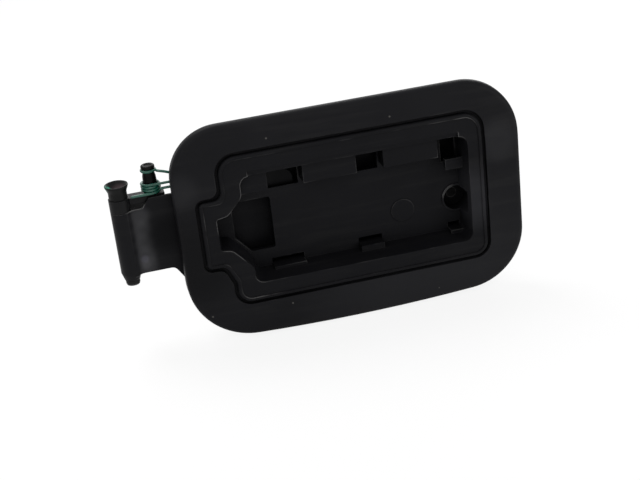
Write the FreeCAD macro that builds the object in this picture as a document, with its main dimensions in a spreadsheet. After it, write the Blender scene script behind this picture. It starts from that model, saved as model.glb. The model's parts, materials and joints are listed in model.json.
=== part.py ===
import FreeCAD, Part
import os
import re
import Sketcher

# Hinged fuel filler flap unit: an outer flange, a clip-in carrier tray, a short hinge arm and a fork bracket.
# Millimetres. +X runs from the hinge to the free edge, +Y into the car, +Z up along the hinge.
# The origin is the centre of the bracket's screw pattern, on the bracket's rear face.

DIMENSIONS = (
    ("front_offset", 32.0, "flange front to the bracket's rear face"),
    ("flange_left", 8.0, "hinge-side edge of the flange"),
    ("flange_width", 200.0, "flange, hinge side to free side"),
    ("flange_top", 64.0, "upper edge of the flange"),
    ("flange_drop", 61.0, "origin down to the flange's lower corners"),
    ("bottom_bulge", 4.5, "sagitta of the lower edge"),
    ("corner_low_hinge", 39.0, "outline radius"),
    ("corner_low_free", 35.0, "outline radius"),
    ("corner_top_free", 33.0, "outline radius"),
    ("corner_top_hinge", 29.0, "outline radius"),
    ("flange_wall", 2.5, "skin of the flange"),
    ("lip_wall", 2.4, "wall of the rolled lip"),
    ("lip_depth", 9.0, "flange front to the lip's rear edge"),
    ("edge_round", 3.2, "rolled front edge"),
    ("crown_bend", 28.0, "height where the flange starts to lean back"),
    ("crown_lean", 4.4, "how far the upper edge leans back"),
    ("crown_radius", 40.0, "radius of the lean's bend"),
    ("cut_margin", 4.0, "overrun of cutting profiles"),
    ("overlap", 1.0, "how far fused and cutting pieces run past a face"),
    ("open_foot", 26.0, "flange edge to the opening's lower hinge-side wall"),
    ("open_hinge", 24.0, "flange edge to the opening's upper hinge-side wall"),
    ("open_free", 20.6, "opening to the free edge of the flange"),
    ("open_top", 16.1, "opening to the upper edge of the flange"),
    ("open_bottom", 17.3, "opening to the lower corners of the flange"),
    ("open_low_round", 10.0, "lower corners of the opening"),
    ("open_top_round", 12.0, "upper corners of the opening"),
    ("tab_hinge", 10.8, "flange edge to the opening's side tab"),
    ("tab_top", 24.8, "upper edge of the side tab"),
    ("tab_bottom", -19.5, "lower edge of the side tab"),
    ("tab_neck", 11.2, "length of the tab's lower edge"),
    ("tab_slope", 10.0, "height of the slope under the tab"),
    ("tab_round", 5.0, "corners of the tab"),
    ("slope_round", 5.0, "corners of the slope"),
    ("groove", 2.0, "gap between flange and tray rim"),
    ("rim_proud", 1.0, "tray rim's bead in front of the flange"),
    ("rim_edge", 1.4, "round of the bead's outer edge"),
    ("bead_width", 2.2, "bead round the rim"),
    ("bead_step", 0.6, "bead above the rim's face"),
    ("rim_free", 8.7, "rim beside the recess"),
    ("rim_bottom", 10.4, "rim below the recess"),
    ("rim_top", 12.4, "rim above the recess"),
    ("bevel_height", 4.7, "bevel on the rim above the recess"),
    ("bevel_depth", 2.5, "flange front to the foot of the bevel"),
    ("backing_lap", 4.0, "tray flange behind the opening's edge"),
    ("backing_rear", 7.0, "flange front to the rear of the tray flange"),
    ("recess_depth", 16.0, "flange front to the recess floor"),
    ("recess_draft", 2.0, "draft of the recess walls over their depth"),
    ("recess_left", 37.0, "flange edge to the recess"),
    ("recess_foot", 38.8, "flange edge to the recess's lower corner"),
    ("recess_round", 5.0, "corners of the recess"),
    ("neck_left", 21.4, "flange edge to the end of the bottle neck"),
    ("neck_top", 11.7, "upper wall of the neck"),
    ("neck_bottom", -7.5, "lower wall of the neck"),
    ("neck_flare", 1.0, "how far each neck wall opens towards its shoulder"),
    ("shoulder_reach", 28.0, "flange edge to the neck's shoulders"),
    ("shoulder_top", 22.3, "start of the upper shoulder"),
    ("shoulder_bottom", -21.2, "start of the lower shoulder"),
    ("shoulder_round", 6.0, "rounds of the shoulders"),
    ("neck_round", 1.5, "corners of the neck"),
    ("tray_wall", 2.0, "walls of the tray"),
    ("floor_wall", 3.0, "floor of the tray"),
    ("window_left", 32.5, "flange edge to the floor window"),
    ("window_width", 22.5, "floor window"),
    ("window_top", 13.0, "upper edge of the window"),
    ("window_height", 31.5, "floor window"),
    ("window_slope", 10.0, "height of the window's cut corner"),
    ("window_cut", 8.5, "width of the window's cut corner"),
    ("ledge_depth", 5.0, "flange front to the ledges"),
    ("ledge_foot", 21.5, "lower edge of the ledges"),
    ("slot_inset", 1.0, "slot edges inside the ledges' gap"),
    ("slot_foot", 18.0, "lower edge of the slots between the ledges"),
    ("slot_c_foot", 14.0, "lower edge of the slot beside the bar"),
    ("ledge_a_left", 36.0, "flange edge to the first ledge"),
    ("ledge_a_width", 17.0, "first ledge"),
    ("ledge_b_shift", -13.9, "second ledge from the middle of the recess"),
    ("ledge_b_width", 31.0, "second ledge"),
    ("ledge_c_free", 16.3, "third ledge to the free-side wall"),
    ("ledge_c_width", 32.2, "third ledge"),
    ("hook_depth", 10.0, "flange front to the hooks"),
    ("hook_gap", 3.0, "slot above each hook"),
    ("hook_a_left", 52.0, "flange edge to the first hook"),
    ("hook_a_width", 19.0, "first hook"),
    ("hook_a_height", 3.0, "first hook above the lower wall"),
    ("hook_b_shift", 8.2, "second hook from the middle of the recess"),
    ("hook_b_width", 14.0, "second hook"),
    ("hook_b_height", 4.9, "second hook above the lower wall"),
    ("hook_c_width", 10.0, "third hook, from the free-side wall"),
    ("hook_c_height", 3.6, "third hook above the lower wall"),
    ("bar_bottom", 11.5, "lower edge of the free-side bar"),
    ("bar_height", 6.5, "free-side bar"),
    ("bar_width", 11.5, "free-side bar, from the wall"),
    ("bar_front", 8.0, "flange front to the bar"),
    ("bar_depth", 3.0, "free-side bar along Y"),
    ("cup_free", 4.2, "free-side wall to the cup's axis"),
    ("cup_height", -9.4, "cup axis"),
    ("cup_bore", 15.0, "inside of the cup"),
    ("cup_wall", 1.1, "wall of the cup"),
    ("cup_lip", 1.0, "cup's lip above the recess floor"),
    ("cup_niche", 4.0, "flange front to the niche that the cup makes in the wall"),
    ("cup_floor", 24.0, "flange front to the cup's floor"),
    ("boss_shift", 29.0, "gate boss from the middle of the recess"),
    ("boss_height", -11.3, "gate boss axis"),
    ("boss_diameter", 14.0, "gate boss"),
    ("boss_rise", 0.6, "gate boss above the floor"),
    ("cover_left", 9.0, "flange edge to the inner cover"),
    ("cover_lap", 1.0, "cover outside the opening's edge"),
    ("cover_round", 12.0, "corners of the cover"),
    ("cover_edge", 3.0, "rear edge round of the cover"),
    ("cover_wall", 2.0, "wall of the cover"),
    ("cover_rear", 28.0, "flange front to the cover's rear face"),
    ("rib_wall", 1.6, "stiffening ribs on the cover"),
    ("rib_rise", 2.0, "ribs behind the cover"),
    ("rib_pitch", 24.0, "ribs along X"),
    ("rib_margin", 9.0, "cover edge to the ends of the ribs"),
    ("screw_post", 7.0, "moulded posts for screws"),
    ("screw_pilot", 2.5, "pilot hole and screw shank"),
    ("cover_screw_length", 8.0, "cover screws under their heads"),
    ("arm_screw_length", 6.0, "arm screws under their heads"),
    ("screw_head", 6.4, "screw head"),
    ("head_height", 1.8, "screw head along its axis"),
    ("cover_screw_shift", 11.8, "middle of the cover screws from the middle of the recess"),
    ("cover_screw_pitch", 62.0, "cover screws along X"),
    ("cover_screw_top", 17.0, "upper cover screws"),
    ("cover_screw_drop", 38.0, "cover screws along Z"),
    ("arm_screw_gap", 7.5, "window to the arm screws"),
    ("arm_screw_rise", 11.0, "arm screws above and below the arm's middle"),
    ("hinge_reach", 28.5, "hinge axis to the flange edge"),
    ("hinge_depth", 15.0, "flange front to the hinge axis"),
    ("pin_diameter", 5.0, "hinge pin"),
    ("running_gap", 0.05, "radial clearance of pin in bushes"),
    ("side_gap", 0.3, "clearance between barrel and lugs"),
    ("barrel_diameter", 11.5, "barrel of the arm"),
    ("barrel_top", 21.6, "upper end of the barrel"),
    ("barrel_bottom", -19.9, "lower end of the barrel"),
    ("barrel_nose", 8.8, "barrel at its tapered lower end"),
    ("barrel_taper", 4.5, "height of the tapered end"),
    ("bush_diameter", 7.6, "outside of the bushes"),
    ("bush_length", 12.0, "bushes along the pin"),
    ("web_wall", 4.0, "thickness of the web and pad"),
    ("web_front", 10.0, "flange front to the web"),
    ("web_run", 3.0, "web beyond the flange edge"),
    ("web_bottom", -17.2, "lower edge of the web"),
    ("flare_start", 4.0, "start of the web's lower flare, before the flange edge"),
    ("flare_run", 6.0, "length of the lower flare"),
    ("flare_round", 4.0, "rounds of the lower flare"),
    ("rise_start", 11.8, "hinge axis to the step in the web's upper edge"),
    ("rise_run", 4.4, "length of the step"),
    ("arm_top", 27.0, "upper edge of the web and pad"),
    ("arm_foot", -27.0, "lower edge of the pad"),
    ("joggle_run", 14.0, "length of the joggle"),
    ("pad_end", 70.0, "flange edge to the end of the pad"),
    ("pad_round", 6.0, "corners of the pad"),
    ("pad_window", 2.0, "pad's window beyond the floor window"),
    ("arm_round", 5.0, "fillets of the joggle"),
    ("plate_left", -24.0, "hinge-side edge of the bracket's back plate"),
    ("plate_right", 16.0, "other edge of the back plate"),
    ("plate_top", 16.5, "upper edge of the back plate"),
    ("plate_bottom", -22.5, "lower edge of the back plate"),
    ("plate_wall", 3.0, "back plate"),
    ("plate_round", 6.0, "corners of the back plate"),
    ("lug_right", 5.0, "free-side edge of the upper lug"),
    ("lug_front", 17.5, "rear face to the front of the upper lug"),
    ("lug_rear", 9.5, "rear face to the rear of the upper lug's top"),
    ("lug_top", 28.0, "upper face of the upper lug"),
    ("lug_wall", 4.0, "upper lug"),
    ("lug_root", 6.0, "upper lug where it leaves the back plate"),
    ("lug_crank", 1.5, "underside of the lug's bend before its top"),
    ("lug_round", 2.0, "front edge of the upper lug"),
    ("knuckle_rise", 1.1, "knuckle above the upper lug"),
    ("foot_wall", 2.0, "lower lug"),
    ("foot_diameter", 8.0, "ring of the lower lug"),
    ("mount_pitch_x", 20.0, "bracket screw pattern along X"),
    ("mount_pitch_z", 24.0, "bracket screw pattern along Z"),
    ("mount_hole", 5.4, "bracket screw holes"),
    ("neck_diameter", 10.4, "pin's neck under its head"),
    ("neck_length", 4.5, "pin's neck"),
    ("funnel_diameter", 13.2, "pin's flared head"),
    ("funnel_height", 3.8, "pin's flared head"),
    ("funnel_wall", 1.0, "edge of the flared head"),
    ("pin_tail", 1.2, "pin below the lower lug"),
    ("clip_diameter", 7.4, "retaining ring"),
    ("clip_wall", 0.8, "retaining ring along the pin"),
    ("post_x", -1.75, "spring post axis"),
    ("post_back", 14.2, "rear face to the spring post axis"),
    ("post_base", 8.4, "spring post at its foot"),
    ("post_neck", 5.8, "spring post under its head"),
    ("post_height", 14.2, "spring post up to its head"),
    ("post_head", 7.8, "spring post head"),
    ("post_cap", 2.2, "height of the post head"),
    ("wire", 1.3, "spring wire"),
    ("wire_swell", 0.1, "wire at its straight runs, over its turns"),
    ("coil_radius", 5.0, "middle of the spring's turns"),
    ("coil_pitch", 1.4, "rise of one turn"),
    ("coil_turns", 3.0, "turns round the post's foot"),
    ("ring_radius", 3.85, "middle of the turn under the post's head"),
    ("riser_radius", 4.75, "spring's rise from its lower turns to its upper turn"),
    ("tail_length", 12.0, "spring tail towards the hinge pin"),
    ("loop_length", 15.0, "spring loop behind the flange"),
    ("loop_height", 2.9, "spring loop"),
    ("loop_start", 3.0, "post axis to the loop's lower run"),
    ("leg_length", 8.0, "spring leg from its upper turn"),
    ("latch_diameter", 6.0, "latch pin"),
    ("latch_collar", 11.0, "collar on the cover"),
    ("latch_step", 2.0, "collar along the pin"),
    ("latch_reach", 18.0, "pin behind the cover"),
    ("latch_neck", 4.0, "catch groove"),
    ("latch_catch", 3.6, "length of the catch groove"),
    ("latch_slope", 1.2, "slopes of the catch groove"),
    ("latch_tip", 4.2, "pin's end to the catch groove"),
    ("stop_diameter", 12.0, "rubber buffers"),
    ("stop_height", 5.0, "rubber buffers behind the cover"),
    ("stop_shift", 15.0, "buffers from the middle of the recess"),
    ("stop_rise", 34.0, "buffers above and below the origin"),
)

FRONT = "(0 - front_offset)"
RIGHT = "(flange_left + flange_width)"
BOTTOM = "(0 - flange_drop)"
OPEN_FREE = f"({RIGHT} - open_free)"
OPEN_TOP = "(flange_top - open_top)"
OPEN_BOTTOM = f"({BOTTOM} + open_bottom)"
RECESS_LEFT = "(flange_left + recess_left)"
RECESS_FREE = f"({OPEN_FREE} - groove - rim_free)"
RECESS_TOP = f"({OPEN_TOP} - groove - rim_top)"
RECESS_BOTTOM = f"({OPEN_BOTTOM} + groove + rim_bottom)"
MIDDLE = f"(({RECESS_LEFT} + {RECESS_FREE}) / 2)"
FLOOR_FRONT = f"({FRONT} + recess_depth)"
FLOOR_REAR = f"({FLOOR_FRONT} + floor_wall)"
FLOOR_CORE = f"({FLOOR_FRONT} + floor_wall / 2)"
RIM_FACE = f"({FRONT} - rim_proud + bead_step)"
BACKING_REAR = f"({FRONT} + backing_rear)"
COVER_REAR = f"({FRONT} + cover_rear)"
COVER_FRONT = f"({COVER_REAR} - cover_wall)"
COVER_LEFT = "(flange_left + cover_left)"
COVER_FREE = f"({OPEN_FREE} + cover_lap)"
COVER_LOW = f"({OPEN_BOTTOM} - cover_lap)"
COVER_HIGH = f"({OPEN_TOP} + cover_lap)"
PAD_REAR = f"({FLOOR_REAR} + web_wall)"
WINDOW_LEFT = "(flange_left + window_left)"
WINDOW_FREE = f"({WINDOW_LEFT} + window_width)"
WINDOW_BOTTOM = "(window_top - window_height)"
CUP_X = f"({RECESS_FREE} - cup_free)"
HINGE_X = "(flange_left - hinge_reach)"
HINGE_Y = f"({FRONT} + hinge_depth)"
ARM_MIDDLE = "((barrel_top + barrel_bottom) / 2)"
KNUCKLE_BOTTOM = "(barrel_top + side_gap)"
KNUCKLE_TOP = "(lug_top + knuckle_rise)"
FOOT_TOP = "(barrel_bottom - side_gap)"
FOOT_BOTTOM = f"({FOOT_TOP} - foot_wall)"
POST_Y = "(0 - post_back)"

ALONG_X = FreeCAD.Rotation(FreeCAD.Vector(0, 1, 0), 90)
ALONG_Y = FreeCAD.Rotation(FreeCAD.Vector(1, 0, 0), -90)
ALONG_Z = FreeCAD.Rotation()
FROM_FRONT = FreeCAD.Rotation(FreeCAD.Vector(0, 0, 1), -90)
WIRE_SIDES = 8
RIB_STEPS = (-3, -2, -1, 0, 1, 2)
NEAR = 0.01
FACING = 0.9
SLANT = 0.6
SHALLOW = 0.4

LEDGES = {
    "a": ("flange_left + ledge_a_left", "flange_left + ledge_a_left + ledge_a_width"),
    "b": (
        f"{MIDDLE} + ledge_b_shift - ledge_b_width / 2",
        f"{MIDDLE} + ledge_b_shift + ledge_b_width / 2",
    ),
    "c": (f"{RECESS_FREE} - ledge_c_free - ledge_c_width", f"{RECESS_FREE} - ledge_c_free"),
}
HOOKS = {
    "a": ("flange_left + hook_a_left", "flange_left + hook_a_left + hook_a_width"),
    "b": (
        f"{MIDDLE} + hook_b_shift - hook_b_width / 2",
        f"{MIDDLE} + hook_b_shift + hook_b_width / 2",
    ),
    "c": (f"{RECESS_FREE} - hook_c_width", f"{RECESS_FREE} + tray_wall / 2"),
}
RECESS_CORNERS = (
    ("flange_left + recess_foot", RECESS_BOTTOM, 1, 1),
    (RECESS_FREE, RECESS_BOTTOM, -1, 1),
    (RECESS_FREE, RECESS_TOP, -1, -1),
    (RECESS_LEFT, RECESS_TOP, 1, -1),
    (RECESS_LEFT, "shoulder_top", 1, -SHALLOW),
    ("flange_left + shoulder_reach", "neck_top + neck_flare", SHALLOW, -1),
    ("flange_left + neck_left", "neck_top", 1, -1),
    ("flange_left + neck_left", "neck_bottom", 1, 1),
    ("flange_left + shoulder_reach", "neck_bottom - neck_flare", SHALLOW, 1),
    ("flange_left + recess_foot", "shoulder_bottom", 1, SHALLOW),
)
RECESS_RADII = ["recess_round"] * 4 + ["shoulder_round"] * 2 + ["neck_round"] * 2 + ["shoulder_round"] * 2

doc = FreeCAD.newDocument("fuel_filler_flap")
sheet = doc.addObject("Spreadsheet::Sheet", "dims")
for row, (alias, size, note) in enumerate(DIMENSIONS, start=1):
    sheet.set(f"A{row}", alias)
    sheet.set(f"B{row}", str(size))
    sheet.set(f"C{row}", note)
    sheet.setAlias(f"B{row}", alias)
doc.recompute()


def formula(text):
    """Turn a formula in plain cell names into an expression on the sheet."""
    return re.sub(r"[a-z]\w*\b(?!\()", lambda name: f"dims.{name.group(0)}", str(text))


def value(text):
    """Present value of a formula in cell names."""
    return float(sheet.evalExpression(formula(text)))


def bind(item, name, text):
    item.setExpression(name, formula(text))


def place(item, x, y, z, rotation=ALONG_Z):
    """Put an object at a place worked out from the sheet."""
    item.Placement = FreeCAD.Placement(FreeCAD.Vector(), rotation)
    for axis, text in zip("xyz", (x, y, z)):
        bind(item, f"Placement.Base.{axis}", text)


def new_sketch(body, plane, name, offset="0"):
    sketch = body.newObject("Sketcher::SketchObject", name)
    support = next(item for item in body.Origin.OriginFeatures if item.Role == plane)
    sketch.AttachmentSupport = (support, [""])
    sketch.MapMode = "FlatFace"
    bind(sketch, "AttachmentOffset.Base.z", offset)
    return sketch


def pin_point(sketch, curve, end, across, up):
    """Fix one end of a curve at sheet-driven coordinates."""
    for kind, text in (("DistanceX", across), ("DistanceY", up)):
        number = sketch.addConstraint(Sketcher.Constraint(kind, -1, 1, curve, end, value(text)))
        bind(sketch, f"Constraints[{number}]", text)


def draw_loop(sketch, corners, bulge=None):
    """Closed loop through corners, anticlockwise; with a bulge the first side is an arc of that sagitta."""
    points = [FreeCAD.Vector(value(across), value(up), 0) for across, up in corners]
    first = sketch.GeometryCount
    for index, start in enumerate(points):
        end = points[(index + 1) % len(points)]
        curve = Part.LineSegment(start, end)
        if bulge and index == 0:
            middle = (start + end) / 2 - FreeCAD.Vector(0, value(bulge), 0)
            curve = Part.Arc(start, middle, end)
        sketch.addGeometry(curve, False)
    for index, (across, up) in enumerate(corners):
        following = first + (index + 1) % len(points)
        sketch.addConstraint(Sketcher.Constraint("Coincident", first + index, 2, following, 1))
        pin_point(sketch, first + index, 1, across, up)
    if bulge:
        chord = f"({corners[1][0]} - ({corners[0][0]}))"
        radius = f"({chord} * {chord} / 4 + {bulge} * {bulge}) / (2 * {bulge})"
        number = sketch.addConstraint(Sketcher.Constraint("Radius", first, value(radius)))
        bind(sketch, f"Constraints[{number}]", radius)


def corner_edges(shape, plane, corners):
    """Names of the edges that run off the sketch plane from the given corners."""
    across, up, off = {"XZ_Plane": (0, 2, 1), "XY_Plane": (0, 1, 2), "YZ_Plane": (1, 2, 0)}[plane]
    names = []
    for number, edge in enumerate(shape.Edges, start=1):
        ends = [vertex.Point for vertex in edge.Vertexes]
        if len(ends) < 2 or abs(ends[0][off] - ends[1][off]) < NEAR:
            continue
        places = [(end[across], end[up]) for end in ends]
        for corner in corners:
            if any(abs(a - corner[0]) < NEAR and abs(b - corner[1]) < NEAR for a, b in places):
                names.append(f"Edge{number}")
    return names


def round_edges(body, name, edges, radius):
    base = body.Tip
    fillet = body.newObject("PartDesign::Fillet", name)
    fillet.Base = (base, edges)
    bind(fillet, "Radius", radius)
    doc.recompute()


def round_corners(body, name, plane, corners, radii):
    """Round the corners of a padded loop, one fillet for each radius."""
    doc.recompute()
    for radius in dict.fromkeys(radius for radius in radii if radius):
        chosen = [
            (value(across), value(up))
            for (across, up), own in zip(corners, radii)
            if own == radius
        ]
        round_edges(body, f"{name}_round", corner_edges(body.Tip.Shape, plane, chosen), radius)


def prism(name, plane, corners, radii, start, end, bulge=None):
    """Body with a rounded outline, padded along the plane's axis between two places."""
    body = doc.addObject("PartDesign::Body", name)
    backwards = plane == "XZ_Plane"
    offset = f"0 - ({end})" if backwards else start
    sketch = new_sketch(body, plane, f"{name}_outline", offset)
    draw_loop(sketch, corners, bulge)
    pad = body.newObject("PartDesign::Pad", f"{name}_pad")
    pad.Profile = sketch
    bind(pad, "Length", f"({end}) - ({start})")
    round_corners(body, name, plane, corners, radii)
    return body


def turned(name, profile, x, y, z, rotation=ALONG_Z):
    """Body turned about its own Z axis from (radius, height) corners, then put in place."""
    body = doc.addObject("PartDesign::Body", name)
    sketch = new_sketch(body, "XZ_Plane", f"{name}_profile")
    draw_loop(sketch, profile)
    turn = body.newObject("PartDesign::Revolution", f"{name}_turn")
    turn.Profile = sketch
    turn.ReferenceAxis = (sketch, ["V_Axis"])
    turn.Angle = 360.0
    place(body, x, y, z, rotation)
    return body


def block(name, x, y, z):
    """Box between pairs of formulas along each axis."""
    box = doc.addObject("Part::Box", name)
    for side, (low, high) in zip(("Length", "Width", "Height"), (x, y, z)):
        bind(box, side, f"({high}) - ({low})")
    place(box, x[0], y[0], z[0])
    return box


def rod(name, diameter, x, z, front, rear):
    """Cylinder along Y."""
    cylinder = doc.addObject("Part::Cylinder", name)
    bind(cylinder, "Radius", f"({diameter}) / 2")
    bind(cylinder, "Height", f"({rear}) - ({front})")
    place(cylinder, x, front, z, ALONG_Y)
    return cylinder


def upright(name, diameter, x, y, bottom, top):
    """Cylinder along Z."""
    cylinder = doc.addObject("Part::Cylinder", name)
    bind(cylinder, "Radius", f"({diameter}) / 2")
    bind(cylinder, "Height", f"({top}) - ({bottom})")
    place(cylinder, x, y, bottom)
    return cylinder


def fuse(name, shapes):
    joined = doc.addObject("Part::MultiFuse", name)
    joined.Shapes = shapes
    joined.Refine = True
    return joined


def shared(name, shapes):
    """What all the shapes have in common."""
    common = doc.addObject("Part::MultiCommon", name)
    common.Shapes = shapes
    common.Refine = True
    return common


def cut(name, base, tools):
    """Subtract tools; the volume has to fall, so a tool that misses is noticed."""
    result = doc.addObject("Part::Cut", name)
    result.Base = base
    result.Tool = tools[0] if len(tools) == 1 else fuse(f"{name}_tools", tools)
    result.Refine = True
    doc.recompute()
    if result.Shape.Volume >= base.Shape.Volume:
        raise RuntimeError(f"{name}: nothing was cut")
    return result


def group(name, shapes):
    compound = doc.addObject("Part::Compound", name)
    compound.Links = shapes
    return compound


def inset(corners, amount):
    """Move each corner inwards along its own pair of signs."""
    return [
        (f"({across}) + ({side}) * ({amount})", f"({up}) + ({rise}) * ({amount})")
        for across, up, side, rise in corners
    ]


def crowned(name, corners, radii, sink, rear, bulge=None):
    """Slab with a flat rear whose front follows the flange's lean, sunk behind the flange front."""
    body = prism(name, "XZ_Plane", corners, radii, f"{FRONT} - cut_margin", rear, bulge)
    sketch = new_sketch(body, "YZ_Plane", f"{name}_lean", "flange_left - cut_margin")
    face = f"({FRONT} + ({sink}))"
    ahead = f"({FRONT} - 2 * cut_margin)"
    low = f"({BOTTOM} - bottom_bulge - cut_margin)"
    high = "(flange_top + cut_margin)"
    leaned = f"({face} + crown_lean * ({high} - crown_bend) / (flange_top - crown_bend))"
    draw_loop(sketch, [(ahead, low), (face, low), (face, "crown_bend"), (leaned, high), (ahead, high)])
    pocket = body.newObject("PartDesign::Pocket", f"{name}_front")
    pocket.Profile = sketch
    bind(pocket, "Length", "flange_width + 2 * cut_margin")
    pocket.Reversed = True
    doc.recompute()
    bend_edges = [
        f"Edge{number}"
        for number, edge in enumerate(pocket.Shape.Edges, start=1)
        if all(
            abs(end.Point.z - value("crown_bend")) < NEAR and abs(end.Point.y - value(face)) < NEAR
            for end in edge.Vertexes
        )
    ]
    round_edges(body, f"{name}_bend", bend_edges, "crown_radius")
    return body


def rim_edges(shape, side):
    """Names of the edges round the faces that look along Y, forwards (-1) or to the rear (1)."""
    counts = {}
    for face in shape.Faces:
        if side * face.normalAt(0, 0).y > FACING:
            for edge in face.Edges:
                key = next(n for n, own in enumerate(shape.Edges, start=1) if own.isSame(edge))
                counts[key] = counts.get(key, 0) + 1
    return [f"Edge{number}" for number, uses in counts.items() if uses == 1]


def rectangle(left, right, low, high):
    return [(left, low), (right, low), (right, high), (left, high)]


def flange_corners(amount):
    return rectangle(
        f"flange_left + {amount}", f"{RIGHT} - {amount}", f"{BOTTOM} + {amount}", f"flange_top - {amount}",
    )


def opening_outline(amount):
    """Corners and radii of the flange opening, moved inwards."""
    corners = (
        ("flange_left + open_foot", OPEN_BOTTOM, 1, 1),
        (OPEN_FREE, OPEN_BOTTOM, -1, 1),
        (OPEN_FREE, OPEN_TOP, -1, -1),
        ("flange_left + open_hinge", OPEN_TOP, 1, -1),
        ("flange_left + open_hinge", "tab_top", 1, -1),
        ("flange_left + tab_hinge", "tab_top", 1, -1),
        ("flange_left + tab_hinge", "tab_bottom", 1, 1),
        ("flange_left + tab_hinge + tab_neck", "tab_bottom", SLANT, 1),
        ("flange_left + open_foot", "tab_bottom - tab_slope", 1, SLANT),
    )
    low = f"open_low_round - ({amount})"
    high = f"open_top_round - ({amount})"
    tab = f"tab_round - ({amount})"
    slope = "slope_round"
    return inset(corners, amount), [low, low, high, high, "tab_round", tab, tab, slope, slope]


def make_recess():
    """Cutter for the recess, whose walls draw in towards the floor."""
    body = doc.addObject("PartDesign::Body", "tray_recess")
    sketch = new_sketch(body, "XZ_Plane", "tray_recess_outline", f"0 - ({FRONT} - overlap)")
    corners = inset(RECESS_CORNERS, "0")
    draw_loop(sketch, corners)
    pad = body.newObject("PartDesign::Pad", "tray_recess_pad")
    pad.Profile = sketch
    pad.Reversed = True
    bind(pad, "Length", "recess_depth + overlap")
    bind(pad, "TaperAngle", "-1 * atan(recess_draft / recess_depth)")
    round_corners(body, "tray_recess", "XZ_Plane", corners, RECESS_RADII)
    return body


def make_flap_plate():
    radii = ["corner_low_hinge", "corner_low_free", "corner_top_free", "corner_top_hinge"]
    lip_rear = f"{FRONT} + lip_depth"
    outer = crowned("flange_outer", flange_corners("0"), radii, "0", lip_rear, "bottom_bulge")
    round_edges(outer, "flange_edge", rim_edges(outer.Tip.Shape, -1), "edge_round")
    inner_radii = [f"{radius} - lip_wall" for radius in radii]
    core = crowned(
        "flange_core", flange_corners("lip_wall"), inner_radii, "flange_wall",
        f"{lip_rear} + cut_margin", "bottom_bulge",
    )
    corners, opening_radii = opening_outline("0")
    opening = prism(
        "flange_opening", "XZ_Plane", corners, opening_radii,
        f"{FRONT} - cut_margin", f"{lip_rear} + cut_margin",
    )
    return cut("flap_plate", outer, [core, opening])


def make_rim():
    """Tray rim: a bead round a slightly lower face."""
    corners, radii = opening_outline("groove")
    bead = crowned("rim_bead", corners, radii, "0 - rim_proud", BACKING_REAR)
    round_edges(bead, "rim_bead_edge", rim_edges(bead.Tip.Shape, -1), "rim_edge")
    corners, radii = opening_outline("groove + bead_width")
    well = prism("rim_well", "XZ_Plane", corners, radii, f"{FRONT} - cut_margin", f"{BACKING_REAR} + overlap")
    corners, radii = opening_outline("groove + bead_width / 2")
    face = crowned("rim_face", corners, radii, "bead_step - rim_proud", BACKING_REAR)
    return [cut("rim_ring", bead, [well]), face]


def make_bevel():
    """Wedge that slopes the rim's inner edge above the recess."""
    ahead = f"{FRONT} - cut_margin"
    foot = f"{FRONT} + bevel_depth"
    top = f"{RECESS_TOP} + bevel_height"
    corners = [
        (ahead, f"{RECESS_TOP} - overlap"),
        (foot, f"{RECESS_TOP} - overlap"),
        (foot, RECESS_TOP),
        (RIM_FACE, top),
        (ahead, top),
    ]
    return prism(
        "rim_bevel", "YZ_Plane", corners, [None] * len(corners),
        f"{RECESS_LEFT} + recess_round", f"{RECESS_FREE} - recess_round",
    )


def ledges():
    return [
        block(
            f"ledge_{key}", span, (f"{FRONT} + ledge_depth", FLOOR_CORE),
            ("ledge_foot", f"{RECESS_TOP} + tray_wall / 2"),
        )
        for key, span in LEDGES.items()
    ]


def hooks():
    return [
        block(
            f"hook_{key}", span, (f"{FRONT} + hook_depth", FLOOR_CORE),
            (f"{RECESS_BOTTOM} - tray_wall / 2", f"{RECESS_BOTTOM} + hook_{key}_height"),
        )
        for key, span in HOOKS.items()
    ]


def floor_slots():
    """Slots through the floor between the ledges and above the hooks."""
    through = (f"{FLOOR_FRONT} - overlap", f"{FLOOR_REAR} + overlap")
    free_end = f"{RECESS_FREE} - recess_draft - slot_inset"
    top = f"{RECESS_TOP} - recess_draft - slot_inset"
    between = (
        (f"{LEDGES['a'][1]} + slot_inset", f"{LEDGES['b'][0]} - slot_inset", "slot_foot"),
        (f"{LEDGES['b'][1]} + slot_inset", f"{LEDGES['c'][0]} - slot_inset", "slot_foot"),
        (f"{RECESS_FREE} - bar_width", free_end, "slot_c_foot"),
    )
    slots = [
        block(f"ledge_slot_{number}", (start, end), through, (foot, top))
        for number, (start, end, foot) in enumerate(between, start=1)
    ]
    for key, (start, end) in HOOKS.items():
        low = f"{RECESS_BOTTOM} + hook_{key}_height"
        end = free_end if key == "c" else end
        slots.append(block(f"hook_slot_{key}", (start, end), through, (low, f"{low} + hook_gap")))
    return slots


def window_cutter():
    corners = [
        (f"{WINDOW_LEFT} + window_cut", WINDOW_BOTTOM),
        (WINDOW_FREE, WINDOW_BOTTOM),
        (WINDOW_FREE, "window_top"),
        (WINDOW_LEFT, "window_top"),
        (WINDOW_LEFT, f"{WINDOW_BOTTOM} + window_slope"),
    ]
    radii = ["neck_round"] * len(corners)
    return prism(
        "tray_window", "XZ_Plane", corners, radii, f"{FLOOR_FRONT} - overlap", f"{FLOOR_REAR} + overlap",
    )


def cover_screw_points():
    return [
        (f"{MIDDLE} + cover_screw_shift + {side} * cover_screw_pitch / 2",
         f"cover_screw_top - {row} * cover_screw_drop")
        for side in (-1, 1)
        for row in (0, 1)
    ]


def arm_screw_points():
    return [
        (f"{WINDOW_FREE} + arm_screw_gap", f"{ARM_MIDDLE} + {side} * arm_screw_rise")
        for side in (1, -1)
    ]


def rods(name, diameter, points, front, rear):
    return [
        rod(f"{name}_{number}", diameter, x, z, front, rear)
        for number, (x, z) in enumerate(points, start=1)
    ]


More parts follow.
